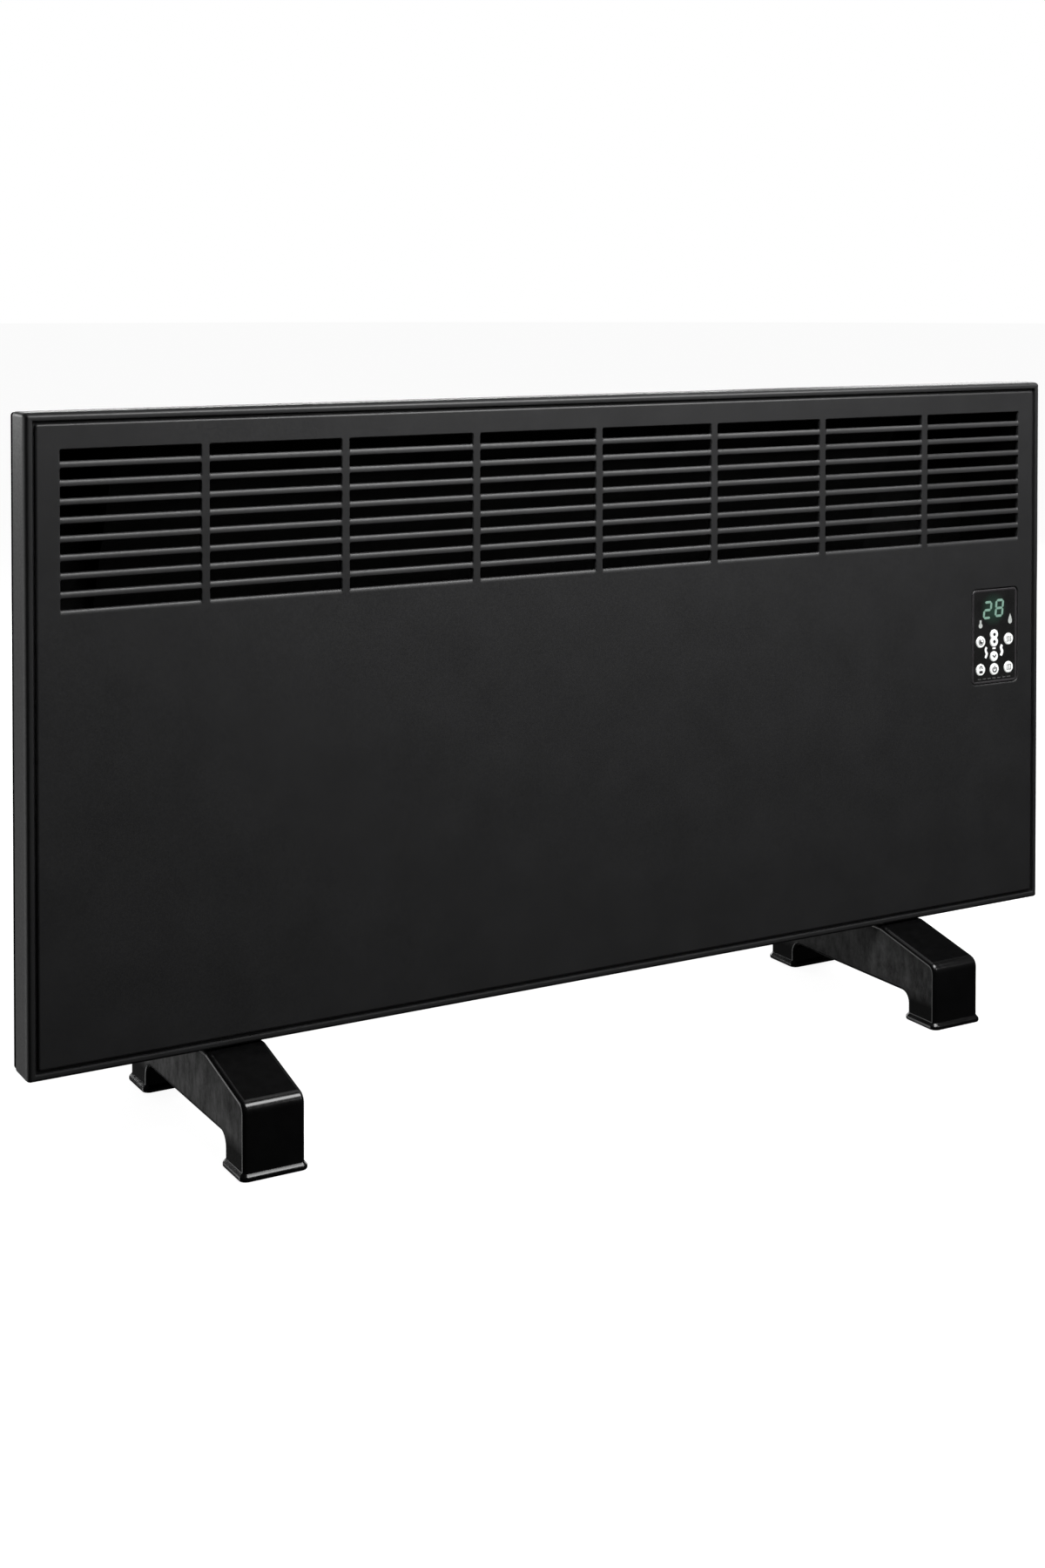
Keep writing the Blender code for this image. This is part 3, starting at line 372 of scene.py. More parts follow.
def painted_foot_sheen_material(side, dark, light):
    """A foot's sides: a streaked grey painted reflection, which fades out to near black by the floor."""
    material, nodes, links, shader = new_material(f"foot_side_textured_{side}")
    place = nodes.new("ShaderNodeTexCoord")
    split = nodes.new("ShaderNodeSeparateXYZ")
    links.new(place.outputs["Object"], split.inputs["Vector"])
    height = spread(nodes, links, split.outputs["Z"], 0.0, 1.0, start=0.017, end=0.027)
    mottle = object_noise(nodes, links, 95.0, detail=6.0, roughness=0.75, stretch=(1.0, 1.0, 0.55))
    painted_sheen = blend_colours(nodes, links, spread(nodes, links, mottle, 0.0, 1.0, 0.35, 0.68),
                            (dark, dark, dark), (light, light, light))
    links.new(blend_colours(nodes, links, height, (0.004, 0.004, 0.004), painted_sheen), shader.inputs["Base Color"])
    grain = object_noise(nodes, links, 1200.0, detail=2.0)
    links.new(spread(nodes, links, grain, 0.50, 0.66), shader.inputs["Roughness"])
    grain_bump(nodes, links, shader, grain, 0.00003)
    shader.inputs["Specular IOR Level"].default_value = 0.06
    return material


def overlay_material():
    """Dark glass with a faint green glow round the lit figures."""
    material, nodes, links, shader = new_material("overlay_dark_glass")
    mottle = object_noise(nodes, links, 60.0)
    links.new(blend_colours(nodes, links, spread(nodes, links, mottle, 0.0, 1.0),
                            (0.0085, 0.0085, 0.0085), (0.0125, 0.0125, 0.0125)), shader.inputs["Base Color"])
    smears = object_noise(nodes, links, 90.0, detail=4.0)
    links.new(spread(nodes, links, smears, 0.22, 0.34), shader.inputs["Roughness"])
    place = nodes.new("ShaderNodeTexCoord")
    away = nodes.new("ShaderNodeVectorMath")
    away.operation = "DISTANCE"
    away.inputs[1].default_value = on_overlay(DISPLAY_PLACE, OVERLAY_GLASS_Y)
    links.new(place.outputs["Object"], away.inputs[0])
    glow = spread(nodes, links, away.outputs["Value"], 0.034, 0.0, 0.003, 0.0150)
    shader.inputs["Emission Color"].default_value = (0.25, 1.0, 0.62, 1.0)
    links.new(glow, shader.inputs["Emission Strength"])
    shader.inputs["Specular IOR Level"].default_value = 0.5
    return material


def lit_material(name, colour, strength):
    """A lit figure, slightly uneven as light through a diffuser is."""
    material, nodes, links, shader = new_material(name)
    shader.inputs["Base Color"].default_value = (0.02, 0.03, 0.025, 1.0)
    shader.inputs["Roughness"].default_value = 0.4
    uneven = object_noise(nodes, links, 350.0)
    dim = [channel * 0.72 for channel in colour]
    links.new(blend_colours(nodes, links, spread(nodes, links, uneven, 0.0, 1.0), dim, colour),
              shader.inputs["Emission Color"])
    shader.inputs["Emission Strength"].default_value = strength
    return material


POWDER = surface("black_powder_coat", (0.0155, 0.0155, 0.0160), 0.46, specular=0.42, variation=0.12,
                 mottle_scale=22.0, grain_scale=750.0, grain_depth=0.000018)
CASING_POWDER = surface("casing_powder_coat", (0.0120, 0.0120, 0.0125), 0.55, specular=0.4, variation=0.15,
                        mottle_scale=14.0, grain_scale=620.0, grain_depth=0.00003)
# Painted shade: a darker, unreflecting copy of the powder coat for the frame's stepped back lip.
LIP_PAINTED_SHADE = surface("frame_lip_painted_shade", (0.0035, 0.0035, 0.0037), 0.80, specular=0.0, variation=0.15,
                     grain_scale=620.0)
# Painted highlight: the bezel ring is coloured lighter than the glass to stand in for the light it catches.
BEZEL_PAINTED_HIGHLIGHT = surface("overlay_bezel_painted_highlight", (0.034, 0.032, 0.034), 0.30, specular=0.6, variation=0.15, mottle_scale=90.0,
                roughness_spread=0.03, grain_scale=1500.0, grain_depth=0.000004)
FOOT_PLASTIC = surface("foot_gloss_plastic", (0.0026, 0.0026, 0.0027), 0.20, specular=0.5, variation=0.25,
                       mottle_scale=50.0, roughness_spread=0.03, grain_scale=300.0, grain_depth=0.000002)
# Painted shade: a darker copy of the foot's plastic, with almost no reflection, for the slopes above the legs.
FOOT_TOP_PAINTED_SHADE = surface("foot_top_painted_shade", (0.0018, 0.0018, 0.0019), 0.34, specular=0.05, variation=0.5,
                   mottle_scale=160.0, roughness_spread=0.05)
# Painted light: the left foot's sides get a brighter painted reflection than the right foot's, as if lit from
# the left.
FOOT_SIDES_PAINTED_SHEEN = {
    "left": painted_foot_sheen_material("left", 0.080, 0.310),
    "right": painted_foot_sheen_material("right", 0.030, 0.105),
}
# Painted shade: a near-black coat for the tray's inside, the heat shield and the element brackets, so the slots
# look dark.
INSIDE_PAINTED_SHADE = surface("inside_painted_shade", (0.0030, 0.0030, 0.0030), 0.75, specular=0.12, variation=0.3)
# Painted light: the keys' white is given a faint glow of its own.
KEY_WHITE = surface("key_white", (0.80, 0.80, 0.79), 0.42, specular=0.4, variation=0.05, mottle_scale=300.0,
                    grain_scale=2500.0, grain_depth=0.000006, glow=0.30)
KEY_MARK = surface("key_mark_ink", (0.020, 0.020, 0.022), 0.5, specular=0.3, variation=0.3, mottle_scale=600.0)
RUBBER = surface("pad_rubber", (0.016, 0.016, 0.016), 0.82, specular=0.25, variation=0.3, mottle_scale=160.0,
                 grain_scale=1500.0, grain_depth=0.00005)
BLACK_PLASTIC = surface("dark_moulded_plastic", (0.014, 0.014, 0.015), 0.48, specular=0.4, variation=0.2,
                        mottle_scale=80.0, grain_scale=1600.0, grain_depth=0.00003)
ZINC = surface("zinc_plated_steel", (0.56, 0.57, 0.58), 0.33, metallic=1.0, variation=0.12, mottle_scale=180.0,
               grain_scale=1400.0, grain_depth=0.00001)
SCREW_BLACK = surface("blackened_screw", (0.055, 0.055, 0.058), 0.36, metallic=0.8, variation=0.25,
                      mottle_scale=400.0, grain_scale=2200.0, grain_depth=0.00001)
ALUMINIUM = surface("drawn_aluminium", (0.62, 0.63, 0.64), 0.38, metallic=1.0, variation=0.1, mottle_scale=25.0,
                    grain_scale=300.0, grain_depth=0.00003, stretch=(0.06, 1.0, 1.0))
CERAMIC = surface("glazed_ceramic", (0.72, 0.69, 0.62), 0.35, variation=0.08, mottle_scale=120.0)
BOARD_GREEN = surface("board_lacquer", (0.016, 0.085, 0.040), 0.34, variation=0.3, mottle_scale=260.0)
WIRE_BROWN = surface("wire_brown", (0.13, 0.050, 0.022), 0.45, variation=0.12, mottle_scale=200.0)
WIRE_BLUE = surface("wire_blue", (0.022, 0.085, 0.33), 0.45, variation=0.12, mottle_scale=200.0)
WIRE_GREY = surface("wire_grey", (0.13, 0.13, 0.14), 0.45, variation=0.12, mottle_scale=200.0)
OVERLAY_GLASS = overlay_material()
DIGIT_LIGHT = lit_material("figure_light", (0.250, 0.420, 0.340), 1.0)
ICON_WHITE = lit_material("icon_light", (0.62, 0.64, 0.62), 1.0)
# Painted light: the printed white is given a faint glow of its own.
PRINT_WHITE = surface("printed_white", (0.80, 0.80, 0.80), 0.5, variation=0.08, mottle_scale=500.0, glow=0.35)
PRINT_GREY = surface("printed_grey", (0.085, 0.085, 0.085), 0.5, variation=0.25, mottle_scale=500.0)


# Front panel: a pressed sheet whose slots and edges are rolled inwards.

def rolled_edge(radius, depth, lead=0.0002):
    """(growth, depth) pairs from the flat sheet, over a rolled edge, down to its inner end."""
    steps = [(radius + lead, 0.0)]
    steps += [(radius * (1.0 - math.sin(turn)), radius * (1.0 - math.cos(turn))) for turn in quarter_turns(5)]
    steps.append((0.0, depth))
    return steps


def slot_places():
    top = BODY_HIGH.z - FIRST_SLOT_BELOW_TOP - SLOT_H / 2
    for row in range(SLOT_ROWS):
        for column in range(SLOT_COLUMNS):
            yield (column - (SLOT_COLUMNS - 1) / 2) * SLOT_PITCH_X, top - row * SLOT_PITCH_Z


def panel_outline(front_y):
    """Rings over the sheet's rolled outer edge."""
    half_w = (PANEL_HIGH.x - PANEL_LOW.x) / 2
    half_h = (PANEL_HIGH.z - PANEL_LOW.z) / 2
    return [in_front_plane(rounded_ring(half_w - growth, half_h - growth, max(0.002 - growth, 0.0004),
                                        (0.0, BODY_MID_Z), 4), front_y + depth)
            for growth, depth in rolled_edge(0.0016, 0.0024)]


def slot_rings(x, z, front_y):
    """Rings into one outlet slot, rolled further below it than above."""
    rings = []
    for growth, depth in rolled_edge(1.0, 2.1, 0.02):
        half_w = SLOT_W / 2 + SLOT_ROLL_X * growth
        half_h = SLOT_H / 2 + (SLOT_ROLL_ABOVE + SLOT_ROLL_BELOW) * growth / 2
        middle = (x, z + (SLOT_ROLL_ABOVE - SLOT_ROLL_BELOW) * growth / 2)
        outline = rounded_ring(half_w, half_h, 0.0009 + SLOT_ROLL_X * growth, middle, 4)
        rings.append(in_front_plane(outline, front_y + SLOT_ROLL_DEPTH * depth))
    return rings


def window_rings(front_y):
    """Rings into the window for the controls."""
    half_w = OVERLAY_HALF_W + CLEARANCE
    half_h = OVERLAY_HALF_H + CLEARANCE
    radius = OVERLAY_CORNER + CLEARANCE
    return [in_front_plane(rounded_ring(half_w + growth, half_h + growth, radius + growth, OVERLAY_MIDDLE, 6),
                           front_y + depth) for growth, depth in rolled_edge(0.0012, 0.0022)]


def make_front_panel():
    shape = bmesh.new()
    front_y = PANEL_LOW.y
    loops = [loft(shape, panel_outline(front_y))[0]]
    for x, z in slot_places():
        loops.append(loft(shape, slot_rings(x, z, front_y))[0])
    loops.append(loft(shape, window_rings(front_y))[0])
    fill(shape, loops)
    panel = add_piece(shape, "panel_sheet", POWDER, facing=Vector((0.0, -1.0, 0.0)))
    thickness = panel.modifiers.new("sheet", "SOLIDIFY")
    thickness.thickness = 0.0007
    thickness.offset = -1.0
    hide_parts("front_panel")


# Front frame: a rounded rim, a dark groove beside the panel and a stepped back edge painted darker as shade.

def frame_ring(inset, y):
    radius = max(RIM_RADIUS - inset, 0.0009)
    outline = rounded_ring(BODY_HALF_W - inset, BODY_HALF_H - inset, radius, (0.0, BODY_MID_Z))
    return in_front_plane(outline, y)


def opening_ring(y):
    """The opening behind the panel, a little smaller than the casing."""
    outline = rounded_ring(CASING_W / 2 - 0.002, CASING_H / 2 - 0.006, 0.0012, (0.0, BODY_MID_Z))
    return in_front_plane(outline, y)


def make_front_frame():
    front = BODY_LOW.y
    back = BODY_HIGH.y
    step_y = back - FRAME_LIP
    rings = [frame_ring(0.0020, back), frame_ring(0.0014, back), frame_ring(0.0009, back - 0.0004),
             frame_ring(0.0008, back - 0.0010), frame_ring(0.0008, step_y + 0.0002), frame_ring(0.0003, step_y),
             frame_ring(0.0, step_y - 0.0004)]
    rings += [frame_ring(RIM_RADIUS * (1.0 - math.cos(turn)), front + RIM_EDGE_DEPTH * (1.0 - math.sin(turn)))
              for turn in quarter_turns(6)]
    rings += [frame_ring(RIM_W - 0.0009, front), frame_ring(RIM_W - 0.0003, front + 0.0002),
              frame_ring(RIM_W, front + 0.0008), frame_ring(RIM_W, front + 0.0030),
              frame_ring(RIM_W + GROOVE_W + 0.0012, front + 0.0030)]
    rings += [opening_ring(front + 0.0033), opening_ring(front + 0.0038), frame_ring(0.0060, front + 0.0038),
              frame_ring(0.0030, front + 0.0048), frame_ring(0.0020, front + 0.0060)]
    shape = bmesh.new()
    loops = [add_loop(shape, ring) for ring in rings]
    for first, second in zip(loops, loops[1:]):
        bridge(shape, first, second)
    bridge(shape, loops[-1], loops[0])
    # The stepped back lip takes the second material, the darker powder coat: painted shade.
    paint_faces(shape, 1, lambda middle: middle.y > step_y - 0.0003)
    rim = add_piece(shape, "frame_rim", POWDER, LIP_PAINTED_SHADE)
    keep_flats_flat(rim)
    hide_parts("front_frame")


# Feet: a hollow moulding each, with two flared legs under an arch.

def inset_outline(points, distance):
    """A closed anticlockwise outline moved inwards by a distance."""
    moved = []
    count = len(points)
    for index in range(count):
        before = Vector(points[index - 1])
        here = Vector(points[index])
        after = Vector(points[(index + 1) % count])
        first = (here - before).normalized()
        second = (after - here).normalized()
        normal_a = Vector((-first.y, first.x))
        normal_b = Vector((-second.y, second.x))
        bisector = (normal_a + normal_b).normalized()
        moved.append(tuple(here + bisector * (distance / max(bisector.dot(normal_a), 0.3))))
    return moved


def round_corners(corners):
    """An outline from (y, z, radius) corners, each rounded to its radius."""
    points = []
    count = len(corners)
    for index, (y, z, radius) in enumerate(corners):
        here = Vector((y, z))
        before = Vector(corners[index - 1][:2])
        after = Vector(corners[(index + 1) % count][:2])
        towards_before = (before - here).normalized()
        towards_after = (after - here).normalized()
        half = towards_before.angle(towards_after) / 2
        reach = radius / math.tan(half)
        middle = here + (towards_before + towards_after).normalized() * (radius / math.sin(half))
        start = here + towards_before * reach - middle
        end = here + towards_after * reach - middle
        sweep = math.atan2(start.x * end.y - start.y * end.x, start.dot(end))
        base = math.atan2(start.y, start.x)
        for step in range(7):
            angle = base + sweep * step / 6
            points.append((middle.x + radius * math.cos(angle), middle.y + radius * math.sin(angle)))
    return points


def foot_outline(half_length, base_z, top_z):
    """Side view, anticlockwise as (y, z): two legs under an arch, and a sloping front and back."""
    inner = half_length - LEG_DEPTH
    shoulder = -BODY_LOW.y
    soft = FOOT_ROUNDING + 0.0006
    return round_corners([
        (-half_length, base_z, soft), (-inner, base_z, soft), (-inner, ARCH_Z, ARCH_FILLET),
        (inner, ARCH_Z, ARCH_FILLET), (inner, base_z, soft), (half_length, base_z, soft),
        (half_length, FOOT_SHOULDER_Z, 0.0085), (shoulder - 0.0015, top_z, soft),
        (-shoulder + 0.0015, top_z, soft), (-half_length, FOOT_SHOULDER_Z, 0.0085)])


def foot_shell(outline, centre_x):
    """The rounded moulding between its two flat sides."""
    half_w = FOOT_W / 2
    near = [(FOOT_ROUNDING * (1.0 - math.sin(turn)), half_w - FOOT_ROUNDING * (1.0 - math.cos(turn)))
            for turn in quarter_turns(6)]
    stations = [(inset, -x) for inset, x in near] + [(inset, x) for inset, x in reversed(near)]
    shape = bmesh.new()
    loops = loft(shape, [in_side_plane(inset_outline(outline, inset), centre_x + x) for inset, x in stations])
    fill(shape, [loops[0]], 1)
    fill(shape, [loops[-1]], 1)
    shape.normal_update()
    # The slopes above the legs take the third material, the darker unreflecting copy of the plastic: painted
    # shade.
    for face in shape.faces:
        slopes = 0.1 < abs(face.normal.y) < 0.9 and face.normal.z > 0.3
        if slopes and face.calc_area() > 0.0001:
            face.material_index = 2
    return shape


def foot_skirts(leg_places, centre_x, base_z):
    """The flared base round each leg."""
    flare = [(0.0, 0.0001), (0.0002, FOOT_FLARE - 0.0004), (0.0008, FOOT_FLARE), (0.0024, FOOT_FLARE),
             (0.0030, FOOT_FLARE - 0.0002), (0.0035, FOOT_FLARE - 0.0006), (0.0050, 0.0003), (0.0058, -0.0001),
             (0.0072, -0.0004)]
    skirts = bmesh.new()
    for y in leg_places:
        rings = []
        for rise, growth in flare:
            outline = rounded_ring(FOOT_W / 2 + growth, LEG_DEPTH / 2 + growth, FOOT_ROUNDING + growth,
                                   (centre_x, y), 6)
            rings.append(in_level_plane(outline, base_z + rise))
        loft(skirts, rings, True, True)
    return skirts


def foot_hollows(leg_places, centre_x):
    """The pocket in each leg, and the wells for the screws' heads."""
    hollows = bmesh.new()
    for y in leg_places:
        pocket = rounded_ring(FOOT_W / 2 - FOOT_WALL, LEG_DEPTH / 2 - FOOT_WALL, 0.0022, (centre_x, y), 4)
        bar(hollows, in_level_plane, pocket, -0.01, FOOT_SHOULDER_Z - 0.006)
    for y in FOOT_SCREW_Y:
        bar(hollows, in_level_plane, circle_ring(0.0046, (centre_x, y)), 0.0, BODY_LOW.z - 0.006)
    return hollows


def make_foot(side, centre_x):
    low, high = (Vector(corner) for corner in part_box("foot_" + side))
    half_length = high.y - FOOT_FLARE
    top_z = BODY_LOW.z - CLEARANCE
    leg_middle = half_length - LEG_DEPTH / 2
    leg_places = (-leg_middle, leg_middle)
    shell = foot_shell(foot_outline(half_length, low.z, top_z), centre_x)
    foot = add_piece(shell, f"foot_{side}_moulding", FOOT_PLASTIC, FOOT_SIDES_PAINTED_SHEEN[side], FOOT_TOP_PAINTED_SHADE)
    boolean(foot, foot_skirts(leg_places, centre_x, low.z), "UNION")
    saddle = bmesh.new()
    saddle_half_w = FOOT_W / 2 - FOOT_WALL
    block(saddle, (centre_x - saddle_half_w, -0.0079, top_z - 0.011), (centre_x + saddle_half_w, 0.038, high.z))
    boolean(foot, saddle, "UNION")
    boolean(foot, foot_hollows(leg_places, centre_x), "DIFFERENCE")
    keep_flats_flat(foot)
    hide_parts("foot_" + side)


# Rear casing: a folded tray with vents, keyholes and pressed ribs.

def casing_ring(growth_x, growth_z, radius, y):
    outline = rounded_ring(CASING_W / 2 + growth_x, CASING_H / 2 + growth_z, radius, (0.0, BODY_MID_Z))
    return in_front_plane(outline, y)


def keyhole(centre):
    """A round entry with a narrow slot rising from it, anticlockwise."""
    entry = 0.0048
    slot_half = 0.0024
    rise = 0.011
    start = math.acos(slot_half / entry)
    points = []
    for step in range(17):
        angle = math.pi - start + (math.pi + 2 * start) * step / 16
        points.append((centre[0] + entry * math.cos(angle), centre[1] + entry * math.sin(angle)))
    for step in range(7):
        angle = math.pi * step / 6
        points.append((centre[0] + slot_half * math.cos(angle), centre[1] + rise + slot_half * math.sin(angle)))
    return points


def tray_shape():
    """The folded sheet: walls with an outward flange, rounded bends and a flat back. Its inside is painted
    darker as shade.
    """
    back = CASING_HIGH.y
    flange = (0.0120, 0.0035, TRAY_BEND)
    outer = [casing_ring(0.0, 0.0, TRAY_BEND, TRAY_FRONT_Y), casing_ring(0.0, 0.0, TRAY_BEND, FLANGE_FRONT_Y),
             casing_ring(*flange, FLANGE_FRONT_Y), casing_ring(*flange, FLANGE_BACK_Y),
             casing_ring(0.0, 0.0, TRAY_BEND, FLANGE_BACK_Y)]
    for turn in quarter_turns(5):
        inset = TRAY_BEND * (1 - math.cos(turn))
        radius = max(TRAY_BEND * math.cos(turn), 0.0003)
        outer.append(casing_ring(-inset, -inset, radius, back - TRAY_BEND * (1 - math.sin(turn))))
    inner = [casing_ring(-SHEET, -SHEET, TRAY_BEND - SHEET, y) for y in (TRAY_FRONT_Y, back - SHEET)]
    shape = bmesh.new()
    loops = loft(shape, outer, False, True)
    inside = loft(shape, inner, False, True)
    bridge(shape, loops[0], inside[0])
    inner_x = CASING_W / 2 - SHEET + 0.00001
    inner_z = CASING_H / 2 - SHEET + 0.00001
    paint_faces(shape, 1, lambda middle: abs(middle.x) < inner_x and abs(middle.z - BODY_MID_Z) < inner_z
                and middle.y < back - SHEET / 2)
    return shape


def tray_openings():
    """Cutters for the air inlets, keyholes, gland, screws and mains switch."""
    back = (CASING_HIGH.y - 0.004, CASING_HIGH.y + 0.004)
    bottom = (CASING_LOW.z - 0.003, CASING_LOW.z + 0.003)
    flange = (FLANGE_FRONT_Y - 0.0013, FLANGE_BACK_Y + 0.0015)
    cuts = bmesh.new()
    for column in range(VENT_COLUMNS):
        x = (column - (VENT_COLUMNS - 1) / 2) * VENT_PITCH
        for rise in BACK_VENT_RISES:
            bar(cuts, in_front_plane, rounded_ring(0.020, 0.0025, 0.0024, (x, BODY_LOW.z + rise), 4), *back)
        for y in BOTTOM_VENT_Y:
            bar(cuts, in_level_plane, rounded_ring(0.020, 0.00275, 0.0026, (x, y), 4), *bottom)
    for x in (-KEYHOLE_X, KEYHOLE_X):
        bar(cuts, in_front_plane, keyhole((x, BODY_HIGH.z - KEYHOLE_BELOW_TOP)), *back)
    bar(cuts, in_front_plane, circle_ring(0.0063, (GLAND_X, BODY_LOW.z + GLAND_RISE)), *back)
    for x in (-FOOT_X, FOOT_X):
        for y in FOOT_SCREW_Y:
            bar(cuts, in_level_plane, circle_ring(0.0023, (x, y), 16), *bottom)
    for x in (-CASING_SCREW_X, CASING_SCREW_X):
        for z in (BODY_LOW.z + CASING_SCREW_MARGIN, BODY_HIGH.z - CASING_SCREW_MARGIN):
            bar(cuts, in_front_plane, circle_ring(0.0023, (x, z), 16), *flange)
    switch = Vector((CASING_W / 2, SWITCH_Y, BODY_LOW.z + SWITCH_RISE))
    switch_half = Vector((0.005, 0.0068, 0.0108))
    block(cuts, switch - switch_half, switch + switch_half)
    return cuts


def pressed_ribs():
    """Cutters for four shallow grooves pressed in the back."""
    section = [(-0.0014, -0.00055), (-0.0002, -0.0001), (0.0006, 0.0004)]
    ribs = bmesh.new()
    for rise in RIB_RISES:
        rings = []
        for growth, y in section:
            outline = rounded_ring(RIB_HALF_LENGTH + growth, RIB_HALF_HEIGHT + growth,
                                   RIB_HALF_HEIGHT - 0.0002 + growth, (0.0, BODY_LOW.z + rise))
            rings.append(in_front_plane(outline, CASING_HIGH.y + y))
        loft(ribs, rings, True, True)
    return ribs


def keyhole_hoods():
    """A pressed hood behind each keyhole, which closes it off from the inside."""
    hoods = bmesh.new()
    for x in (-KEYHOLE_X, KEYHOLE_X):
        middle = (x, BODY_HIGH.z - KEYHOLE_BELOW_TOP + 0.005)
        rings = [in_front_plane(rounded_ring(0.0075 - wall, 0.0125 - wall, 0.003, middle, 4), y)
                 for wall, y in ((0.0, 0.0357), (0.0, 0.0392), (0.0006, 0.0392), (0.0006, 0.0363))]
        loft(hoods, rings, True, True)
    return hoods


def make_rear_casing():
    casing = add_piece(tray_shape(), "casing_tray", CASING_POWDER, INSIDE_PAINTED_SHADE)
    boolean(casing, tray_openings(), "DIFFERENCE")
    boolean(casing, pressed_ribs(), "DIFFERENCE")
    boolean(casing, keyhole_hoods(), "UNION")
    soften(casing, 0.00022)
    keep_flats_flat(casing)
    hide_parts("rear_casing")


# Control overlay, keys and figures

KEY_PLACES = {
    "up_key": (0.0248, 0.0424), "timer_key": (0.0098, 0.0446), "mode_key": (0.0412, 0.0442),
    "down_key": (0.0248, 0.0581), "lock_key": (0.0098, 0.0686), "power_key": (0.0252, 0.0692),
    "window_key": (0.0412, 0.0686)}
KEY_RADIUS = 0.0048
SMALL_KEY_RADIUS = 0.0042
SMALL_KEYS = ("up_key", "down_key")
UP_KEY_LOBE = 0.0031
KEY_FLANGE = 0.0009
KEY_FLANGE_THICKNESS = 0.0008
KEY_STEM_RADIUS = 0.0016
BEZEL_W = 0.0022


def key_outline(name, growth, centre):
    """A key's outline, a circle for all but the up key, which is two circles run together."""
    radius = (SMALL_KEY_RADIUS if name in SMALL_KEYS else KEY_RADIUS) + growth
    if name != "up_key":
        return circle_ring(radius, centre, 32)
    waist = math.asin(UP_KEY_LOBE / radius)
    points = []
    for lobe, start in ((UP_KEY_LOBE, -waist), (-UP_KEY_LOBE, math.pi - waist)):
        for step in range(20):
            angle = start + (math.pi + 2 * waist) * step / 20
            points.append((centre[0] + radius * math.cos(angle), centre[1] + lobe + radius * math.sin(angle)))
    return points


def overlay_point(place):
    """A place on the overlay as world X and Z."""
    x, _, z = on_overlay(place, 0.0)
    return x, z


def key_rings(name, profile):
    """Rings round a key, from (growth, y) pairs."""
    centre = overlay_point(KEY_PLACES[name])
    return [in_front_plane(key_outline(name, growth, centre), y) for growth, y in profile]


def make_overlay():
    shape = bmesh.new()
    front = OVERLAY_LOW.y
    back = OVERLAY_HIGH.y
    bezel = [(0.0, back), (0.0, front + 0.0006), (0.0002, front + 0.00025), (0.0005, front + 0.00005),
             (0.0008, front), (0.0013, front), (0.0018, front + 0.00008), (BEZEL_W, OVERLAY_GLASS_Y),
             (BEZEL_W + 0.0002, OVERLAY_GLASS_Y)]
    rings = [in_front_plane(rounded_ring(OVERLAY_HALF_W - inset, OVERLAY_HALF_H - inset, OVERLAY_CORNER - inset,
                                         OVERLAY_MIDDLE, 6), y) for inset, y in bezel]
    loops = loft(shape, rings)
    front_loops = [loops[-1]]
    back_loops = [loops[0]]
    hole = [(0.00055, OVERLAY_GLASS_Y), (CLEARANCE, OVERLAY_GLASS_Y + 0.00025), (CLEARANCE, back)]
    for name in KEY_PLACES:
        walls = loft(shape, key_rings(name, hole))
        front_loops.append(walls[0])
        back_loops.append(walls[-1])
    fill(shape, front_loops)
    fill(shape, back_loops)

    def on_bezel(place):
        past_x = abs(place.x - OVERLAY_MIDDLE[0]) - OVERLAY_HALF_W
        past_z = abs(place.z - OVERLAY_MIDDLE[1]) - OVERLAY_HALF_H
        return max(past_x, past_z) > -BEZEL_W and place.y < OVERLAY_GLASS_Y + 0.0004

    # The bezel ring takes the lighter material: a painted highlight.
    paint_faces(shape, 1, on_bezel)
    glass = add_piece(shape, "overlay_glass", OVERLAY_GLASS, BEZEL_PAINTED_HIGHLIGHT)
    keep_flats_flat(glass)
    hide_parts("control_overlay")


def make_key(name):
    """A key's cap with a softened edge, its flange and its stem. Returns the cap's front."""
    low, high = (Vector(corner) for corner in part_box(name))
    front = low.y
    flange_front = OVERLAY_HIGH.y + CLEARANCE
    flange_back = flange_front + KEY_FLANGE_THICKNESS
    profile = [(-0.00060, front), (-0.00030, front + 0.00004), (-0.00008, front + 0.00015),
               (0.0, front + 0.00035), (0.0, flange_front), (KEY_FLANGE, flange_front),
               (KEY_FLANGE, flange_back)]
    shape = bmesh.new()
    loft(shape, key_rings(name, profile), True, True)
    stem = circle_ring(KEY_STEM_RADIUS, overlay_point(KEY_PLACES[name]), 16)
    loft(shape, [in_front_plane(stem, flange_back), in_front_plane(stem, high.y)], False, True)
    cap = add_piece(shape, name + "_cap", KEY_WHITE, body=name)
    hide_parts(name)
    return front


def stroke_outline(points, width):
    """The outline of a line of that width along the points, with square ends."""
    left, right = [], []
    for index, point in enumerate(points):
        here = Vector(point)
        before = Vector(points[max(index - 1, 0)])
        after = Vector(points[min(index + 1, len(points) - 1)])
        along = (after - before).normalized()
        across = Vector((-along.y, along.x)) * (width / 2)
        left.append(tuple(here + across))
        right.append(tuple(here - across))
    return left + right[::-1]


def arc(centre, radius, start, end, steps):
    """Points along an arc, in degrees anticlockwise from the right."""
    turns = [math.radians(start + (end - start) * step / steps) for step in range(steps + 1)]
    return [(centre[0] + radius * math.cos(turn), centre[1] + radius * math.sin(turn)) for turn in turns]


def make_marks(name, outlines, front_y, material, body="heater", proud=0.00004):
    """Thin raised marks, each outline given in world X and Z."""
    shape = bmesh.new()
    for outline in outlines:
        bar(shape, in_front_plane, outline, front_y - proud, front_y + 0.00008)
    add_piece(shape, name, material, body=body)


def at_place(outline, centre):
    """An outline drawn in millimetres, moved to its centre in metres."""
    return [(centre[0] + x * 0.001, centre[1] + y * 0.001) for x, y in outline]


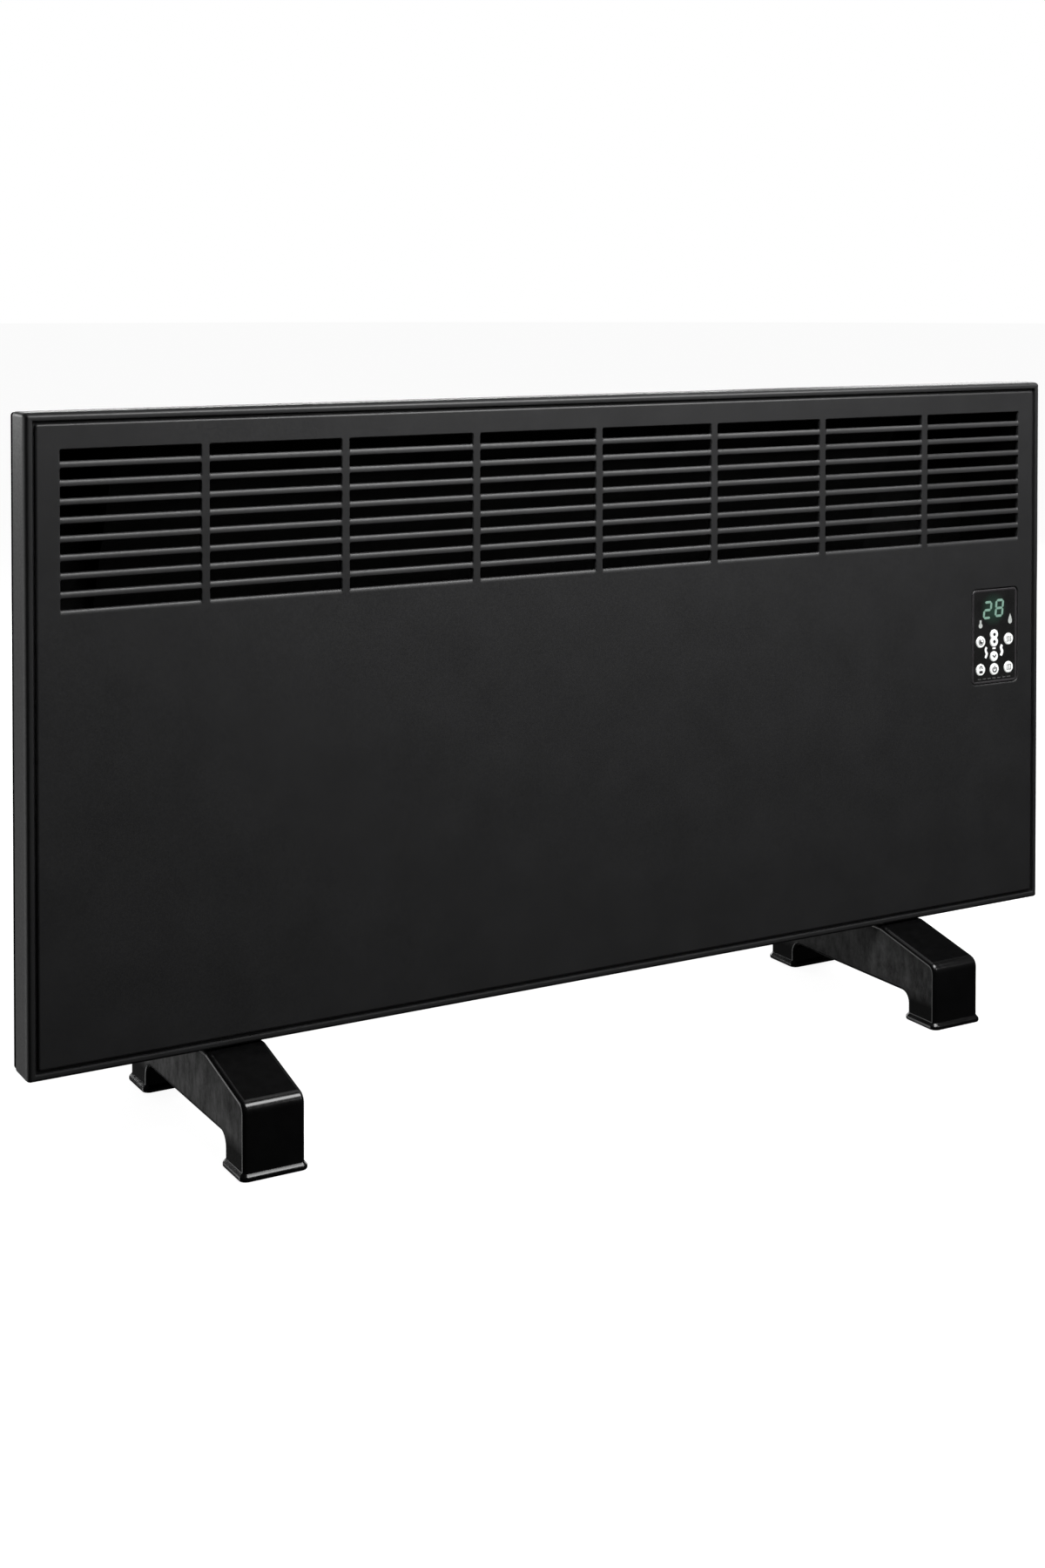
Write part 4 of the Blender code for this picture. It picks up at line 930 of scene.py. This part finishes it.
KEY_SIGNS = {
    "up_key": [circle_ring(1.45, (0.0, 3.2)), circle_ring(1.45, (0.0, -3.0))],
    "timer_key": [stroke_outline(arc((0, 0), 2.6, 115, 415, 32), 0.6),
                  [(0, 0)] + arc((0, 0), 1.9, 90, 360, 24)],
    "mode_key": [stroke_outline([(x - 0.5, -2.4), (x + 0.6, -1.0), (x - 0.6, 1.0), (x + 0.5, 2.4)], 0.75)
                 for x in (-1.9, 0.0, 1.9)],
    "down_key": [[(-2.3, 0.9), (-1.6, 1.5), (0.0, -0.1), (1.6, 1.5), (2.3, 0.9), (0.0, -1.6)]],
    "lock_key": [[(-1.9, -3.0), (1.9, -3.0), (1.9, -0.8), (-1.9, -0.8)],
                 stroke_outline([(-1.3, 0.6)] + arc((0, 1.7), 1.3, 180, 0, 12) + [(1.3, 0.6)], 0.95)],
    "power_key": [stroke_outline(arc((0, -0.2), 2.1, 125, 415, 28), 1.15),
                  stroke_outline([(0, 2.8), (0, -0.3)], 1.15)],
    "window_key": [stroke_outline([(-2.1, y), (2.1, y)], 0.55) for y in (-2.0, 2.0)]
                  + [stroke_outline([(x, -2.27), (x, 2.27)], 0.55) for x in (-2.1, 2.1)]
                  + [stroke_outline([(0.0, -1.8), (0.0, 1.8)], 0.5)]}

# Seven-segment figures: each segment runs between two points of a grid of 2 columns and 3 rows.

SEGMENTS = {"top": ((0, 2), (1, 2)), "middle": ((0, 1), (1, 1)), "bottom": ((0, 0), (1, 0)),
            "upper_left": ((0, 2), (0, 1)), "upper_right": ((1, 2), (1, 1)),
            "lower_left": ((0, 1), (0, 0)), "lower_right": ((1, 1), (1, 0))}
FIGURES = {"2": ("top", "upper_right", "middle", "lower_left", "bottom"), "8": tuple(SEGMENTS)}
FIGURE_W = 7.4
FIGURE_H = 13.4
FIGURE_STROKE = 2.1
FIGURE_SLANT = 0.09
FIGURE_GAP = 0.18


def grid_point(column, row):
    return Vector(((column - 0.5) * FIGURE_W, (row - 1) * FIGURE_H / 2))


def figure_outlines(figure, centre):
    """The lit segments of one seven-segment figure, leaning to the right."""
    outlines = []
    for segment in FIGURES[figure]:
        first, second = (grid_point(*place) for place in SEGMENTS[segment])
        along = (second - first).normalized()
        across = Vector((-along.y, along.x)) * (FIGURE_STROKE / 2)
        tip = along * (FIGURE_STROKE / 2)
        start = first + along * FIGURE_GAP
        end = second - along * FIGURE_GAP
        outline = [start, start + tip + across, end - tip + across, end, end - tip - across,
                   start + tip - across]
        outlines.append(at_place([(x + z * FIGURE_SLANT, z) for x, z in outline], centre))
    return outlines


def make_display_marks():
    across, down = DISPLAY_PLACE
    figures = figure_outlines("2", overlay_point((across - 0.0066, down + 0.0006)))
    figures += figure_outlines("8", overlay_point((across + 0.0066, down - 0.0004)))
    make_marks("temperature_figures", figures, OVERLAY_GLASS_Y, DIGIT_LIGHT)
    thermometer = [stroke_outline([(0, -1.0), (0, 3.2)], 2.0), circle_ring(2.1, (0.0, -1.6), 20)]
    drop = [(0.0, 5.2), (1.2, 2.2), (2.1, -0.6), (1.9, -2.8), (0.0, -4.0), (-1.9, -2.8), (-2.1, -0.6),
            (-1.2, 2.2)]
    icons = [at_place(outline, overlay_point((0.0096, 0.0292))) for outline in thermometer]
    icons.append(at_place(drop, overlay_point((0.0429, 0.0275))))
    make_marks("status_signs", icons, OVERLAY_GLASS_Y, ICON_WHITE)


def make_printed_marks():
    """A generic warmth sign between the keys and a row of dashes under them."""
    wave = [(-0.7, -4.6), (0.5, -2.6), (0.9, -0.9), (-0.1, 1.0), (-0.6, 2.6), (0.6, 4.6)]
    waves = [at_place(stroke_outline(wave, 2.3), overlay_point((0.0158, 0.0543))),
             at_place(stroke_outline(wave, 2.7), overlay_point((0.0332, 0.0535))),
             at_place(rounded_ring(1.9, 0.7, 0.65, steps=4), overlay_point((0.0248, 0.0512)))]
    make_marks("warmth_sign", waves, OVERLAY_GLASS_Y, PRINT_WHITE)
    dashes = [at_place(rounded_ring(1.9, 0.45, 0.4, steps=4), overlay_point((0.0085 + 0.0055 * index, 0.0768)))
              for index in range(7)]
    make_marks("lower_dashes", dashes, OVERLAY_GLASS_Y, PRINT_GREY)


def make_controls():
    make_overlay()
    for name in KEY_PLACES:
        front = make_key(name)
        signs = [at_place(outline, overlay_point(KEY_PLACES[name])) for outline in KEY_SIGNS[name]]
        make_marks(name + "_sign", signs, front, KEY_MARK, body=name, proud=0.00003)
    make_display_marks()
    make_printed_marks()


# Rocker signs, laid on the tilted rocker

def make_rocker_signs():
    """A dash and a ring, each point dropped onto the rocker's face along X."""
    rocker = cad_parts["power_rocker"]
    mesh = rocker.data
    tree = BVHTree.FromPolygons([rocker.matrix_world @ vertex.co for vertex in mesh.vertices],
                                [tuple(polygon.vertices) for polygon in mesh.polygons])
    low, high = (Vector(corner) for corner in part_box("power_rocker"))
    middle = (low + high) / 2
    signs = [stroke_outline([(-0.0016, 0.0040), (0.0016, 0.0040)], 0.0007),
             stroke_outline(arc((0.0, -0.0040), 0.0013, 0, 360, 24), 0.0006)]
    shape = bmesh.new()
    inwards = Vector((-1.0, 0.0, 0.0))
    for outline in signs:
        top = []
        base = []
        for y, z in outline:
            outside = Vector((high.x + 0.01, middle.y + y, middle.z + z))
            hit = tree.ray_cast(outside, inwards)[0]
            top.append((hit.x + 0.00005, hit.y, hit.z))
            base.append((hit.x - 0.0001, hit.y, hit.z))
        loft(shape, [top, base], True, True)
    add_piece(shape, "rocker_signs", PRINT_WHITE, body="rocker")


# CAD nodes that stay

TRANSFORMER_LACQUER = surface("transformer_lacquer", (0.11, 0.052, 0.018), 0.4, variation=0.3,
                              mottle_scale=240.0)
NODE_FINISHES = {
    SCREW_BLACK: ("casing_screw",),
    RUBBER: ("rubber_pad",),
    BLACK_PLASTIC: ("cable_gland", "power_switch_body", "power_rocker", "control_box", "relay",
                    "tip_microswitch", "tip_switch_bracket", "room_sensor", "digit_display"),
    ZINC: ("foot_screw", "tip_switch_pendulum", "thermal_cutout"),
    ALUMINIUM: ("heating_element",),
    CERAMIC: ("element_insulator", "terminal_block"),
    BOARD_GREEN: ("display_board", "power_board"),
    # The heat shield and element brackets take the near-black painted shade.
    INSIDE_PAINTED_SHADE: ("heat_shield", "element_bracket"),
    WIRE_BROWN: ("element_lead_upper",),
    WIRE_BLUE: ("element_lead_lower",),
    WIRE_GREY: ("sensor_lead",),
    TRANSFORMER_LACQUER: ("transformer",)}
SOFTENED = {"casing_screw": 0.0004, "cable_gland": 0.0005, "power_switch_body": 0.0005, "power_rocker": 0.0004,
            "rubber_pad": 0.0004, "foot_screw": 0.0003, "transformer": 0.0004, "relay": 0.0004}


def finish_cad_nodes():
    for name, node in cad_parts.items():
        for material, starts in NODE_FINISHES.items():
            if name.startswith(starts):
                for slot in node.material_slots:
                    slot.material = material
        for start, width in SOFTENED.items():
            if name.startswith(start):
                soften(node, width)


# Floor and light

def make_floor():
    shape = bmesh.new()
    rings = [in_level_plane(circle_ring(radius, (0.0, 0.0), 64), 0.0) for radius in (30.0, 6.0)]
    loft(shape, rings, False, True)
    floor = add_object("floor", to_mesh(shape, "floor", facing=Vector((0.0, 0.0, 1.0))))
    material, nodes, links, shader = new_material("pale_floor")
    tone = object_noise(nodes, links, 1.5)
    amount = spread(nodes, links, tone, 0.0, 1.0)
    mottled = blend_colours(nodes, links, amount, (0.30, 0.30, 0.30), (0.33, 0.33, 0.33))
    links.new(mottled, shader.inputs["Base Color"])
    shader.inputs["Roughness"].default_value = 0.9
    shader.inputs["Specular IOR Level"].default_value = 0.0
    shader.inputs["Emission Color"].default_value = (1.0, 1.0, 1.0, 1.0)
    shader.inputs["Emission Strength"].default_value = 0.95
    floor.data.materials.append(material)
    floor.visible_diffuse = False
    floor.visible_glossy = False
    floor.visible_shadow = False


def make_world():
    """White where the camera sees it, and a dim studio, lighter behind, for all other rays."""
    world = bpy.data.worlds.new("studio")
    world.use_nodes = True
    SCENE.world = world
    nodes, links = world.node_tree.nodes, world.node_tree.links
    lit = nodes["Background"]
    place = nodes.new("ShaderNodeTexCoord")
    split = nodes.new("ShaderNodeSeparateXYZ")
    links.new(place.outputs["Generated"], split.inputs["Vector"])
    behind = spread(nodes, links, split.outputs["Y"], 0.0, 1.0, 0.35, 0.95)
    above = spread(nodes, links, split.outputs["Z"], 0.0, 1.0, -0.1, 0.6)
    ambient = blend_colours(nodes, links, above, (0.015, 0.015, 0.015), (0.030, 0.030, 0.030))
    ambient = blend_colours(nodes, links, behind, ambient, (0.045, 0.045, 0.045))
    links.new(ambient, lit.inputs["Color"])
    seen = nodes.new("ShaderNodeBackground")
    seen.inputs["Color"].default_value = (1.0, 1.0, 1.0, 1.0)
    ray = nodes.new("ShaderNodeLightPath")
    either = nodes.new("ShaderNodeMixShader")
    links.new(ray.outputs["Is Camera Ray"], either.inputs["Fac"])
    links.new(lit.outputs["Background"], either.inputs[1])
    links.new(seen.outputs["Background"], either.inputs[2])
    links.new(either.outputs["Shader"], nodes["World Output"].inputs["Surface"])


def area_light(name, place, target, size, power):
    data = bpy.data.lights.new(name, "AREA")
    data.shape = "RECTANGLE"
    data.size, data.size_y = size
    data.energy = power
    light = bpy.data.objects.new(name, data)
    light.location = place
    light.rotation_euler = (Vector(target) - Vector(place)).to_track_quat("-Z", "Y").to_euler()
    light.visible_camera = False
    SCENE.collection.objects.link(light)


def make_lights():
    area_light("softbox_above", (0.26, -0.56, 1.14), (0.20, -0.05, 0.42), (1.2, 0.5), 22.0)
    area_light("softbox_front", (1.15, -1.75, 1.25), (0.10, 0.0, 0.50), (0.7, 0.35), 7.0)
    area_light("softbox_left", (-2.2, 2.1, -0.20), (-0.45, 0.0, 0.20), (1.1, 2.6), 15.0)
    area_light("softbox_right", (2.3, 1.5, 0.9), (0.40, 0.05, 0.30), (1.4, 1.6), 34.0)
    area_light("softbox_behind", (0.36, 2.6, 0.68), (0.1, 0.0, 0.50), (3.1, 0.5), 58.0)


SCENE.view_settings.view_transform = "Standard"
make_floor()
make_world()
make_lights()
make_front_panel()
make_front_frame()
make_rear_casing()
for foot_side, foot_x in (("left", -FOOT_X), ("right", FOOT_X)):
    make_foot(foot_side, foot_x)
make_controls()
make_rocker_signs()
finish_cad_nodes()
